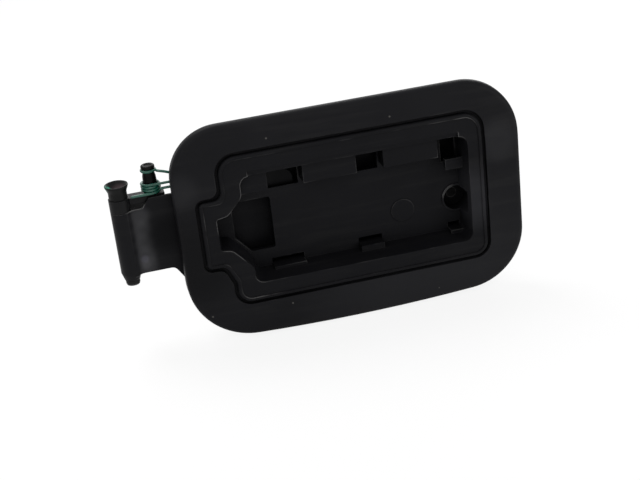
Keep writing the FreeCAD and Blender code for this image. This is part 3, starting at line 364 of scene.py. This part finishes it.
def moulded_plastic(context, name, colour, *, roughness, specular, dust, pale, marks=(), highlight_places=()):
    """Injection-moulded plastic: satin with a fine grain, painted edge highlights, painted shade in pockets,
    faint haze and dust.

    Dust is the share of cells with a speck, and pale the strength of the painted edge highlight. A mark is a
    soft tone of (place in mm, radius in mm, colour, strength), and a highlight place is a (place in mm,
    radius in mm).
    """
    finish = finish_of(context)
    material, tree = new_material(name)
    place = add_node(tree, "ShaderNodeTexCoord").outputs["Object"]
    # The real grain is near 0.1 mm, too fine for the render, so it is drawn at 0.6 mm.
    grain = add_node(tree, "ShaderNodeTexNoise", {"Scale": 1.0 / (0.6 * MM), "Detail": 2.0},
                     {"Vector": place})
    # Tone and gloss drift over about 34 mm.
    clouds = add_node(tree, "ShaderNodeTexNoise", {"Scale": 1.0 / (34 * MM), "Detail": 3.0},
                      {"Vector": place})
    tone = add_node(tree, "ShaderNodeMix",
                    {"data_type": "RGBA", MIX_UNDER: opaque(scaled(colour, 0.78)),
                     MIX_OVER: opaque(scaled(colour, 1.25))},
                    {MIX_SHARE: clouds.outputs["Fac"]})
    dusty = dusted(tree, place, tone.outputs[MIX_RESULT], finish.dust_colour, dust)
    # Painted shade: deep corners and pockets darken toward a tenth of the colour.
    shaded = add_node(tree, "ShaderNodeMix", {"data_type": "RGBA", MIX_OVER: opaque(scaled(colour, 0.1))},
                      {MIX_SHARE: painted_pocket_shade(tree), MIX_UNDER: dusty})
    # Painted highlight: convex edges lighten toward the edge highlight colour.
    surface = add_node(tree, "ShaderNodeMix", {"data_type": "RGBA", MIX_OVER: opaque(finish.edge_highlight_colour)},
                       {MIX_SHARE: painted_edge_highlight(tree, place, pale, highlight_places),
                        MIX_UNDER: shaded.outputs[MIX_RESULT]})
    # Marks: soft painted highlights and shade, and dust specks and spots, laid over the rest.
    for spot, radius, tint, strength in marks:
        mark = nearness(tree, place, spot, radius, MARK_CORE, strength)
        surface = add_node(tree, "ShaderNodeMix", {"data_type": "RGBA", MIX_OVER: opaque(tint)},
                           {MIX_SHARE: mark, MIX_UNDER: surface.outputs[MIX_RESULT]})
    gloss = add_node(tree, "ShaderNodeMapRange",
                     {"From Min": 0.3, "From Max": 0.7, "To Min": roughness - 0.05,
                      "To Max": roughness + 0.07},
                     {"Value": clouds.outputs["Fac"]})
    soft_edges = add_node(tree, "ShaderNodeBevel", {"samples": 6, "Radius": detail_of(context).edge_round})
    bump = add_node(tree, "ShaderNodeBump", {"Strength": 0.12, "Distance": 0.1 * MM},
                    {"Height": grain.outputs["Fac"], "Normal": soft_edges.outputs["Normal"]})
    shader = add_node(tree, "ShaderNodeBsdfPrincipled", {"IOR": 1.49, "Specular IOR Level": specular},
                      {"Base Color": surface.outputs[MIX_RESULT], "Roughness": gloss.outputs["Result"],
                       "Normal": bump.outputs["Normal"]})
    close_material(tree, shader)
    return material


def coated_spring_steel(context):
    """Spring steel wire in a green dip coating: a smooth gloss that turns darker and duller in places."""
    colour = finish_of(context).spring_colour
    material, tree = new_material("Green coated spring steel")
    place = add_node(tree, "ShaderNodeTexCoord").outputs["Object"]
    runs = add_node(tree, "ShaderNodeTexNoise", {"Scale": 1.0 / (2.5 * MM), "Detail": 3.0}, {"Vector": place})
    tone = add_node(tree, "ShaderNodeMix",
                    {"data_type": "RGBA", MIX_UNDER: opaque(colour), MIX_OVER: opaque(scaled(colour, 0.5))},
                    {MIX_SHARE: runs.outputs["Fac"]})
    gloss = add_node(tree, "ShaderNodeMapRange",
                     {"From Min": 0.3, "From Max": 0.7, "To Min": 0.28, "To Max": 0.42},
                     {"Value": runs.outputs["Fac"]})
    shader = add_node(tree, "ShaderNodeBsdfPrincipled", {"IOR": 1.5},
                      {"Base Color": tone.outputs[MIX_RESULT], "Roughness": gloss.outputs["Result"]})
    close_material(tree, shader)
    return material


def blackened_steel(context):
    """Zinc-plated and blackened screw steel: dark metal, mottled in tone and gloss."""
    colour = finish_of(context).steel_colour
    material, tree = new_material("Blackened zinc steel")
    place = add_node(tree, "ShaderNodeTexCoord").outputs["Object"]
    mottle = add_node(tree, "ShaderNodeTexNoise", {"Scale": 1.0 / (0.8 * MM), "Detail": 3.0},
                      {"Vector": place})
    tone = add_node(tree, "ShaderNodeMix",
                    {"data_type": "RGBA", MIX_UNDER: opaque(scaled(colour, 0.7)), MIX_OVER: opaque(colour)},
                    {MIX_SHARE: mottle.outputs["Fac"]})
    gloss = add_node(tree, "ShaderNodeMapRange",
                     {"From Min": 0.3, "From Max": 0.7, "To Min": 0.3, "To Max": 0.5},
                     {"Value": mottle.outputs["Fac"]})
    shader = add_node(tree, "ShaderNodeBsdfPrincipled", {"Metallic": 1.0},
                      {"Base Color": tone.outputs[MIX_RESULT], "Roughness": gloss.outputs["Result"]})
    close_material(tree, shader)
    return material


def vulcanised_rubber(context):
    """Moulded black rubber: matt, with a slight grey bloom."""
    colour = finish_of(context).rubber_colour
    material, tree = new_material("EPDM rubber")
    place = add_node(tree, "ShaderNodeTexCoord").outputs["Object"]
    bloom = add_node(tree, "ShaderNodeTexNoise", {"Scale": 1.0 / (4 * MM), "Detail": 4.0}, {"Vector": place})
    tone = add_node(tree, "ShaderNodeMix",
                    {"data_type": "RGBA", MIX_UNDER: opaque(colour), MIX_OVER: opaque(scaled(colour, 2.0))},
                    {MIX_SHARE: bloom.outputs["Fac"]})
    gloss = add_node(tree, "ShaderNodeMapRange",
                     {"From Min": 0.3, "From Max": 0.7, "To Min": 0.62, "To Max": 0.82},
                     {"Value": bloom.outputs["Fac"]})
    shader = add_node(tree, "ShaderNodeBsdfPrincipled", {"IOR": 1.52, "Specular IOR Level": 0.3},
                      {"Base Color": tone.outputs[MIX_RESULT], "Roughness": gloss.outputs["Result"]})
    close_material(tree, shader)
    return material


def dress(node, material):
    """Give a carried-over CAD node one finish."""
    item = frame["nodes"][node]
    item.data.materials.clear()
    item.data.materials.append(material)


def body_of_node(node):
    bodies = frame["record"]["behaviour"]["bodies"]
    return next(body for body, members in bodies.items() if node in members)


def stand_for(context, name, mesh, node, material):
    """Put a new piece in the scene, let it ride with the node's body and stand for that node."""
    mesh.materials.append(material)
    piece = bpy.data.objects.new(name, mesh)
    context.scene.collection.objects.link(piece)
    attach(piece, body_of_node(node))
    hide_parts(node)


def mesh_of(name, form):
    """Mesh from a bmesh, which is freed."""
    mesh = bpy.data.meshes.new(name)
    form.to_mesh(mesh)
    form.free()
    return mesh


def smooth(mesh, crease):
    """Shade a mesh smooth but for edges past the crease angle."""
    for polygon in mesh.polygons:
        polygon.use_smooth = True
    mesh.set_sharp_from_angle(angle=crease)


def evaluated_mesh(context, name, item):
    """Mesh of an object with its modifiers or curve settings applied."""
    context.view_layer.update()
    mesh = bpy.data.meshes.new_from_object(item.evaluated_get(context.evaluated_depsgraph_get()))
    mesh.name = name
    return mesh


def turned_mesh(name, profile, seats, turn):
    """Turned pieces at their seats, from a profile of (radius, height) in mm up an axis.

    A third number in a row of the profile waves the radius by that share, once for each lobe.
    """
    form = bmesh.new()
    for seat in seats:
        rings = []
        for radius, height, *waves in profile:
            steps = TURN_STEPS if radius else 1
            ring = []
            for step in range(steps):
                angle = math.tau * step / TURN_STEPS
                reach = radius * MM * (1 + sum(waves) * math.cos(LOBES * angle))
                point = Vector((reach * math.cos(angle), reach * math.sin(angle), height * MM))
                ring.append(form.verts.new(seat + turn @ point))
            rings.append(ring)
        for lower, upper in zip(rings, rings[1:]):
            for step in range(TURN_STEPS):
                following = (step + 1) % TURN_STEPS
                corners = (lower[step % len(lower)], lower[following % len(lower)],
                           upper[following % len(upper)], upper[step % len(upper)])
                form.faces.new(dict.fromkeys(corners))
    bmesh.ops.recalc_face_normals(form, faces=form.faces)
    mesh = mesh_of(name, form)
    smooth(mesh, ROUND_CREASE)
    return mesh


def corner_seats(node, radius, depth, columns):
    """Seats of like pieces at the corners of a node's box, at one depth along Y."""
    low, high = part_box(node)
    spots_x = (low.x + radius, high.x - radius) if columns == 2 else ((low.x + high.x) / 2,)
    return [Vector((x, depth, z)) for x in spots_x for z in (low.z + radius, high.z - radius)]


def pin_profile(tail, top, rim):
    """Hinge pin from its tail to its flared lip, then down into the hollow of the head."""
    collar = tail + PIN_SHANK
    shank = [(0.0, tail), (2.2, tail), (2.5, tail + 0.3), (2.5, collar), (5.2, collar), (5.2, top - 4.6)]
    flare = [(5.3, top - 3.9), (5.7, top - 2.9), (rim - 0.3, top - 1.5), (rim - 0.02, top - 0.8)]
    lip = [(rim, top - 0.45), (rim - 0.1, top - 0.12), (rim - 0.35, top), (rim - 0.75, top - 0.1)]
    hollow = [(rim - 1.2, top - 0.6), (4.3, top - 2.0), (3.2, top - 3.3), (2.5, top - 3.8), (2.1, top - 4.6),
              (2.1, top - 7.5), (0.0, top - 7.8)]
    return shank + flare + lip + hollow


def post_profile(foot, top, foot_radius):
    """Spring post from its foot through the tapered shank to a rounded head with a shallow dish."""
    shank = [(0.0, foot), (foot_radius, foot), (foot_radius - 0.1, foot + 3.0), (3.75, top - 6.5),
             (3.2, top - 3.8), (3.05, top - 2.6)]
    head = [(3.3, top - 2.25), (3.75, top - 2.0), (3.9, top - 1.6), (3.9, top - 0.7), (3.75, top - 0.3),
            (3.4, top - 0.06), (2.9, top)]
    dish = [(2.2, top - 0.1), (1.9, top - 0.5), (0.0, top - 0.6)]
    return shank + head + dish


def screw_profile(shank):
    """Screw from its point to the pan head, then down into the lobed recess."""
    head = SCREW_HEAD_RADIUS
    height = SCREW_HEAD_HEIGHT
    point = [(0.0, -shank), (0.5, -shank), (1.25, -shank + 1.2), (1.25, -0.05)]
    pan = [(head - 0.1, 0.0), (head, 0.12), (head, 0.6), (head - 0.25, 1.05), (head - 0.75, 1.45), (2.0, 1.7),
           (1.75, height)]
    recess = [(1.55, height - 0.02, 0.1), (1.45, 1.5, 0.14), (1.4, 0.75, 0.14), (0.5, 0.6), (0.0, 0.55)]
    return point + pan + recess


def buffer_profile(radius, height):
    """Buffer from its flange over a groove to the domed nose with a dimple."""
    flange = [(0.0, 0.0), (radius, 0.0), (radius, 1.1), (radius - 0.15, 1.3)]
    groove = [(radius - 0.9, 1.45), (radius - 0.95, 1.9), (radius - 0.55, 2.1)]
    nose = [(radius - 0.5, 2.6), (radius - 0.8, 3.5), (radius - 1.5, 4.4), (radius - 2.4, height - 0.12),
            (radius - 3.0, height), (2.1, height)]
    dimple = [(1.8, height - 0.15), (1.6, height - 1.2), (0.0, height - 1.6)]
    return flange + groove + nose + dimple


def web_outline(detail, axis, skin):
    """Outline of the hollow before the web: off the barrel's skin, round a sweep, along the set-back face."""
    face = axis.y - detail.web_front
    sweep = (face - axis.y + skin * math.cos(BARREL_LEAVE)) / (1 - math.cos(BARREL_LEAVE))
    reach = skin + sweep
    centre = Vector((axis.x + reach * math.sin(BARREL_LEAVE), axis.y - reach * math.cos(BARREL_LEAVE)))
    outline = []
    for step in range(ARC_STEPS + 1):
        angle = BARREL_START + (BARREL_LEAVE - BARREL_START) * step / ARC_STEPS
        outline.append((axis.x + skin * math.sin(angle), axis.y - skin * math.cos(angle)))
    for step in range(1, ARC_STEPS + 1):
        angle = BARREL_LEAVE * (1 - step / ARC_STEPS)
        outline.append((centre.x - sweep * math.sin(angle), centre.y + sweep * math.cos(angle)))
    end = axis.x + detail.web_run
    ahead = axis.y - 2 * skin
    return outline + [(end, face), (end, ahead), (outline[0][0], ahead)]


def upright_prism(name, outline, bottom, height):
    """Prism of a height on an outline."""
    form = bmesh.new()
    floor = form.faces.new([form.verts.new((x, y, bottom)) for x, y in outline])
    raised = bmesh.ops.extrude_face_region(form, geom=[floor])["geom"]
    lifted = [item for item in raised if isinstance(item, bmesh.types.BMVert)]
    bmesh.ops.translate(form, vec=(0, 0, height), verts=lifted)
    bmesh.ops.recalc_face_normals(form, faces=form.faces)
    return mesh_of(name, form)


def hollowed_arm(context):
    """Hinge arm with the web's front face set back, so that the barrel stands proud and sweeps into it."""
    low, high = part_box("hinge_arm")
    pin_low, pin_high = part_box("hinge_pin")
    axis = (pin_low + pin_high) / 2
    outline = web_outline(detail_of(context), axis, axis.x - low.x + SKIN_CLEARANCE)
    hollow_mesh = upright_prism("arm_hollow", outline, low.z - MM, high.z - low.z + 2 * MM)
    hollow = bpy.data.objects.new("arm_hollow", hollow_mesh)
    blank_mesh = frame["nodes"]["hinge_arm"].data.copy()
    blank_mesh.materials.clear()
    blank = bpy.data.objects.new("arm_blank", blank_mesh)
    cut = blank.modifiers.new("Hollow", "BOOLEAN")
    cut.object = hollow
    cut.operation = "DIFFERENCE"
    for item in (hollow, blank):
        context.scene.collection.objects.link(item)
    mesh = evaluated_mesh(context, "hollowed_hinge_arm", blank)
    # The two helper objects go with their meshes.
    for data in (blank_mesh, hollow_mesh):
        bpy.data.meshes.remove(data)
    smooth(mesh, ARM_CREASE)
    return mesh


def coil_route(detail, centre, start, end, base):
    """Spring wire from its low leg through the close turns to the loop at the side."""
    radius = detail.coil_radius
    front = centre.y - radius
    top = base + detail.coil_pitch * detail.close_turns
    loop_low = top - LOOP_DROP
    loop_end = end - detail.wire / 2
    route = [(start, front, base), (centre.x - 6 * MM, front, base), (centre.x - 2 * MM, front, base)]
    for step in range(COIL_STEPS * detail.close_turns + 1):
        angle = math.radians(-90) + math.tau * step / COIL_STEPS
        height = base + detail.coil_pitch * step / COIL_STEPS
        route.append((centre.x + radius * math.cos(angle), centre.y + radius * math.sin(angle), height))
    route += [(centre.x + 3 * MM, front, top), (loop_end - LOOP_BEND, front, top), (loop_end, front, top)]
    route += [(loop_end + 0.3 * MM, front, (top + loop_low) / 2), (loop_end, front, loop_low)]
    route += [(loop_end - LOOP_BEND, front, loop_low), (centre.x + 4.5 * MM, front, loop_low)]
    return route


def ring_route(detail, centre, base, height):
    """Spring wire from the coil up the post's rear, round under its head and off to the side."""
    top = base + detail.coil_pitch * detail.close_turns
    riser_y = centre.y + detail.coil_radius - 0.25 * MM
    route = [(centre.x, riser_y, top - 1.2 * MM), (centre.x, riser_y, top + 2 * MM)]
    route += [(centre.x - 0.1 * MM, centre.y + 4.4 * MM, height - 2 * MM)]
    route += [(centre.x + 0.2 * MM, centre.y + 4.0 * MM, height - 0.4 * MM)]
    for step in range(2, COIL_STEPS + COIL_STEPS // 4 + 1):
        angle = math.radians(90) - math.tau * step / COIL_STEPS
        route.append((centre.x + detail.ring_radius * math.cos(angle),
                      centre.y + detail.ring_radius * math.sin(angle), height))
    side = centre.x + detail.ring_radius
    route += [(side, centre.y - 2.5 * MM, height), (side + 1.2 * MM, centre.y - 4.6 * MM, height)]
    route += [(side + 4 * MM, centre.y - 5 * MM, height - 0.6 * MM)]
    route += [(side + 7 * MM, centre.y - 5 * MM, height - 1.8 * MM)]
    return route


def wire_mesh(context, name, routes, diameter):
    """Round wire along smooth routes, as a mesh."""
    path = bpy.data.curves.new(name, "CURVE")
    path.dimensions = "3D"
    path.bevel_depth = diameter / 2
    path.bevel_resolution = 3
    path.use_fill_caps = True
    for route in routes:
        spline = path.splines.new("NURBS")
        spline.points.add(len(route) - 1)
        for point, place in zip(spline.points, route):
            point.co = (*place, 1.0)
        spline.order_u = 3
        spline.use_endpoint_u = True
        spline.resolution_u = 4
    carrier = bpy.data.objects.new(f"{name}_path", path)
    context.scene.collection.objects.link(carrier)
    mesh = evaluated_mesh(context, name, carrier)
    bpy.data.objects.remove(carrier)
    bpy.data.curves.remove(path)
    smooth(mesh, ROUND_CREASE)
    return mesh


def white_seen(tree):
    """Output that is 1 for the rays of the camera, of reflections and of glass."""
    path = add_node(tree, "ShaderNodeLightPath")
    direct = add_node(tree, "ShaderNodeMath", {"operation": "MAXIMUM"},
                      {0: path.outputs["Is Camera Ray"], 1: path.outputs["Is Glossy Ray"]})
    seen = add_node(tree, "ShaderNodeMath", {"operation": "MAXIMUM"},
                    {0: direct.outputs["Value"], 1: path.outputs["Is Transmission Ray"]})
    return seen.outputs["Value"]


def make_world(scene):
    """Soft grey light all round; the camera, reflections and glass see plain white."""
    world = bpy.data.worlds.new("Studio")
    scene.world = world
    world.use_nodes = True
    tree = world.node_tree
    tree.nodes.clear()
    plain = add_node(tree, "ShaderNodeBackground", {"Color": WHITE, "Strength": WORLD_STRENGTH})
    white = add_node(tree, "ShaderNodeBackground", {"Color": WHITE, "Strength": 1.0})
    mixed = add_node(tree, "ShaderNodeMixShader",
                     links={0: white_seen(tree), 1: plain.outputs["Background"],
                            2: white.outputs["Background"]})
    add_node(tree, "ShaderNodeOutputWorld", links={"Surface": mixed.outputs["Shader"]})


def studio_paper():
    """Matt pale paper, which the camera, reflections and glass see as near white with its shadow."""
    material, tree = new_material("Studio paper")
    paper = add_node(tree, "ShaderNodeBsdfPrincipled",
                     {"Base Color": opaque(linear("#f4f4f4")), "Roughness": 0.9})
    white = add_node(tree, "ShaderNodeEmission", {"Color": WHITE, "Strength": 1.0})
    shade = add_node(tree, "ShaderNodeMixShader", {0: FLOOR_WHITE},
                     {1: paper.outputs["BSDF"], 2: white.outputs["Emission"]})
    mixed = add_node(tree, "ShaderNodeMixShader",
                     links={0: white_seen(tree), 1: paper.outputs["BSDF"], 2: shade.outputs["Shader"]})
    add_node(tree, "ShaderNodeOutputMaterial", links={"Surface": mixed.outputs["Shader"]})
    return material


def make_floor(scene):
    """Paper floor just under the object."""
    half = FLOOR_HALF
    height = CAD_BOX[0].z - FLOOR_GAP
    corners = [(-half, -half, height), (half, -half, height), (half, half, height), (-half, half, height)]
    mesh = bpy.data.meshes.new("Floor")
    mesh.from_pydata(corners, [], [(0, 1, 2, 3)])
    mesh.materials.append(studio_paper())
    floor = bpy.data.objects.new("Floor", mesh)
    scene.collection.objects.link(floor)


def make_light(scene, name, position, target, size, power):
    lamp = bpy.data.lights.new(name, "AREA")
    lamp.shape = "SQUARE"
    lamp.size = size
    lamp.energy = power
    item = bpy.data.objects.new(name, lamp)
    item.location = position
    item.rotation_mode = "QUATERNION"
    item.rotation_quaternion = (target - position).to_track_quat("-Z", "Y")
    scene.collection.objects.link(item)


def make_camera(scene, stage):
    data = bpy.data.cameras.new("Camera")
    data.sensor_width = 36.0
    data.lens = stage.lens_pixels * data.sensor_width / PHOTO_WIDTH
    data.clip_start = 0.01
    data.clip_end = 50.0
    camera = bpy.data.objects.new("Camera", data)
    level = math.cos(stage.elevation)
    back = Vector((math.sin(stage.azimuth) * level, -math.cos(stage.azimuth) * level,
                   math.sin(stage.elevation)))
    right = (-back).cross(Vector((0, 0, 1))).normalized()
    up = right.cross(-back)
    turned_right = right * math.cos(stage.roll) + up * math.sin(stage.roll)
    turned_up = up * math.cos(stage.roll) - right * math.sin(stage.roll)
    pose = Matrix((turned_right, turned_up, back)).transposed().to_4x4()
    pose.translation = Vector(stage.target) + back * stage.distance
    camera.matrix_world = pose
    scene.collection.objects.link(camera)
    scene.camera = camera


class FLAP_OT_flange(bpy.types.Operator):
    """Finish the outer flange"""

    bl_idname = "flap.flange"
    bl_label = "Outer Flange"

    def execute(self, context):
        finish = finish_of(context)
        flange = frame["nodes"]["flap_plate"]
        # The flange is crowned, so each speck's depth is found on its surface.
        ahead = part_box("flap_plate")[0].y - MM
        landings = [flange.ray_cast((x * MM, ahead, z * MM), (0, 1, 0))[1] for x, z in FLANGE_SPECKS]
        specks = tuple(
            (landing / MM, SPECK_RADIUS, finish.dust_colour, SPECK_STRENGTH) for landing in landings)
        # Polypropylene from a grained mould: satin near-black that greys softly where light grazes it.
        # Its marks are painted highlights and painted shade, with a few dust specks.
        polypropylene = moulded_plastic(
            context, "Moulded polypropylene flange", finish.flange_colour,
            roughness=0.48, specular=0.05, dust=0.03, pale=0.2, marks=FLANGE_PAINTED_LIGHT + specks)
        dress("flap_plate", polypropylene)
        return {"FINISHED"}


class FLAP_OT_tray(bpy.types.Operator):
    """Finish the carrier tray and the inner cover"""

    bl_idname = "flap.tray"
    bl_label = "Tray And Cover"

    def execute(self, context):
        # Moulded ABS: a shade darker than the flange, with painted highlights along its edges, painted shade
        # in its pockets and a painted light tone on its rim at the free end.
        abs_plastic = moulded_plastic(
            context, "Moulded ABS tray", finish_of(context).tray_colour,
            roughness=0.46, specular=0.05, dust=0.08, pale=0.6, marks=TRAY_PAINTED_LIGHT, highlight_places=TRAY_EDGE_HIGHLIGHTS)
        dress("carrier_tray", abs_plastic)
        dress("inner_cover", abs_plastic)
        return {"FINISHED"}


class FLAP_OT_hinge(bpy.types.Operator):
    """Set back the hinge arm's web, and finish the arm and its bushes"""

    bl_idname = "flap.hinge"
    bl_label = "Arm And Bushes"

    def execute(self, context):
        finish = finish_of(context)
        # Moulded polyamide with glass fibre: smoother than the tray, with painted highlights on its edges and
        # a painted highlight band on the web, painted shade beyond it and on the pad, and two lighter spots.
        polyamide = moulded_plastic(
            context, "Glass-filled polyamide arm", finish.arm_colour,
            roughness=0.4, specular=0.06, dust=0.04, pale=0.9, marks=ARM_PAINTED_LIGHT_AND_SPOTS, highlight_places=ARM_EDGE_HIGHLIGHT)
        stand_for(context, "hollowed_hinge_arm", hollowed_arm(context), "hinge_arm", polyamide)
        # Acetal without pigment: ivory with an even, soft gloss.
        acetal = moulded_plastic(
            context, "Natural acetal bush", finish.bush_colour,
            roughness=0.35, specular=0.5, dust=0.0, pale=0.0)
        dress("upper_bush", acetal)
        dress("lower_bush", acetal)
        return {"FINISHED"}


class FLAP_OT_bracket(bpy.types.Operator):
    """Finish the hinge bracket"""

    bl_idname = "flap.bracket"
    bl_label = "Bracket"

    def execute(self, context):
        # Moulded polyamide with glass fibre: as the arm, with more shine on its upper sides.
        polyamide = moulded_plastic(
            context, "Glass-filled polyamide bracket", finish_of(context).bracket_colour,
            roughness=0.4, specular=0.1, dust=0.04, pale=0.4)
        dress("hinge_bracket", polyamide)
        return {"FINISHED"}


class FLAP_OT_pins(bpy.types.Operator):
    """Turn the hinge pin and the spring post, and finish the latch pin"""

    bl_idname = "flap.pins"
    bl_label = "Pins And Post"

    def execute(self, context):
        finish = finish_of(context)
        low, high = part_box("hinge_pin")
        middle = (low + high) / 2
        head = Vector((middle.x, middle.y, high.z)) / MM
        marks = tuple((head + Vector(offset), *tone) for offset, *tone in HEAD_PAINTED_REFLECTIONS)
        # Moulded black acetal: smoother than the polyamide, with a soft gloss and no dust; its head holds
        # painted warm light and a painted green reflection with a glint.
        acetal = moulded_plastic(
            context, "Black acetal pin", finish.pin_colour,
            roughness=0.36, specular=0.08, dust=0.0, pale=0.3, marks=marks)
        profile = pin_profile(low.z / MM, high.z / MM, (high.x - low.x) / 2 / MM)
        seat = Vector((middle.x, middle.y, 0.0))
        stand_for(context, "flared_hinge_pin", turned_mesh("flared_hinge_pin", profile, [seat], UPRIGHT),
                  "hinge_pin", acetal)
        dress("latch_pin", acetal)
        low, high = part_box("spring_post")
        # The same acetal at half the lightness, as painted shade: the post looks deep black behind the wire.
        black = moulded_plastic(
            context, "Black acetal post", scaled(finish.pin_colour, 0.5),
            roughness=0.36, specular=0.05, dust=0.0, pale=0.1)
        profile = post_profile(low.z / MM, high.z / MM, (high.x - low.x) / 2 / MM)
        seat = Vector(((low.x + high.x) / 2, (low.y + high.y) / 2, 0.0))
        stand_for(context, "headed_spring_post", turned_mesh("headed_spring_post", profile, [seat], UPRIGHT),
                  "spring_post", black)
        return {"FINISHED"}


class FLAP_OT_spring(bpy.types.Operator):
    """Wind the hinge spring from round wire"""

    bl_idname = "flap.spring"
    bl_label = "Spring"

    def execute(self, context):
        detail = detail_of(context)
        low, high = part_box("hinge_spring")
        post_low, post_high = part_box("spring_post")
        centre = (post_low + post_high) / 2
        base = low.z + detail.wire / 2 + COIL_LIFT
        ring_height = post_high.z - POST_HEAD - detail.wire / 2
        coil = coil_route(detail, centre, low.x, high.x, base)
        ring = ring_route(detail, centre, base, ring_height)
        mesh = wire_mesh(context, "green_spring", (coil, ring), detail.wire)
        stand_for(context, "green_spring", mesh, "hinge_spring", coated_spring_steel(context))
        return {"FINISHED"}


class FLAP_OT_screws(bpy.types.Operator):
    """Turn the six-lobe pan-head screws and finish the retaining ring"""

    bl_idname = "flap.screws"
    bl_label = "Screws"

    def execute(self, context):
        steel = blackened_steel(context)
        for node, columns in (("cover_screws", 2), ("arm_screws", 1)):
            low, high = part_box(node)
            profile = screw_profile((high.y - low.y) / MM - SCREW_HEAD_HEIGHT)
            seats = corner_seats(node, SCREW_HEAD_RADIUS * MM, high.y - SCREW_HEAD_HEIGHT * MM, columns)
            mesh = turned_mesh(f"{node}_turned", profile, seats, REARWARD)
            stand_for(context, f"{node}_turned", mesh, node, steel)
        dress("pin_clip", steel)
        return {"FINISHED"}


class FLAP_OT_buffers(bpy.types.Operator):
    """Mould the rubber buffers"""

    bl_idname = "flap.buffers"
    bl_label = "Buffers"

    def execute(self, context):
        low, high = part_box("bump_stops")
        radius = (high.x - low.x) / 2 / MM
        profile = buffer_profile(radius, (high.y - low.y) / MM)
        seats = corner_seats("bump_stops", radius * MM, low.y, 1)
        mesh = turned_mesh("rubber_buffers", profile, seats, REARWARD)
        stand_for(context, "rubber_buffers", mesh, "bump_stops", vulcanised_rubber(context))
        return {"FINISHED"}


class FLAP_OT_stage(bpy.types.Operator):
    """Floor, soft studio light and the photograph's camera"""

    bl_idname = "flap.stage"
    bl_label = "Studio Stage"

    def execute(self, context):
        scene = context.scene
        stage = scene.flap_stage
        scene.view_settings.view_transform = "Standard"
        make_world(scene)
        make_floor(scene)
        target = Vector(stage.target)
        for name, offset, size, power in LAMPS:
            make_light(scene, name, target + Vector(offset), target, size, getattr(stage, power))
        make_camera(scene, stage)
        return {"FINISHED"}


class FLAP_PT_panel(bpy.types.Panel):
    """Sidebar list of the flap unit's pieces"""

    bl_label = "Flap Unit"
    bl_idname = "FLAP_PT_panel"
    bl_space_type = "VIEW_3D"
    bl_region_type = "UI"
    bl_category = "Flap Unit"

    def draw(self, context):
        for operator in OPERATORS:
            self.layout.operator(operator.bl_idname)


OPERATORS = (
    FLAP_OT_flange,
    FLAP_OT_tray,
    FLAP_OT_hinge,
    FLAP_OT_bracket,
    FLAP_OT_pins,
    FLAP_OT_spring,
    FLAP_OT_screws,
    FLAP_OT_buffers,
    FLAP_OT_stage,
)
GROUPS = {"flap_finish": FlapFinish, "flap_detail": FlapDetail, "flap_stage": FlapStage}


def register():
    for item in (*GROUPS.values(), *OPERATORS, FLAP_PT_panel):
        bpy.utils.register_class(item)
    for name, group in GROUPS.items():
        setattr(bpy.types.Scene, name, PointerProperty(type=group))


def unregister():
    for name in GROUPS:
        delattr(bpy.types.Scene, name)
    for item in reversed((*GROUPS.values(), *OPERATORS, FLAP_PT_panel)):
        bpy.utils.unregister_class(item)


def main():
    register()
    for operator in OPERATORS:
        family, name = operator.bl_idname.split(".")
        getattr(getattr(bpy.ops, family), name)()


if __name__ == "__main__":
    main()
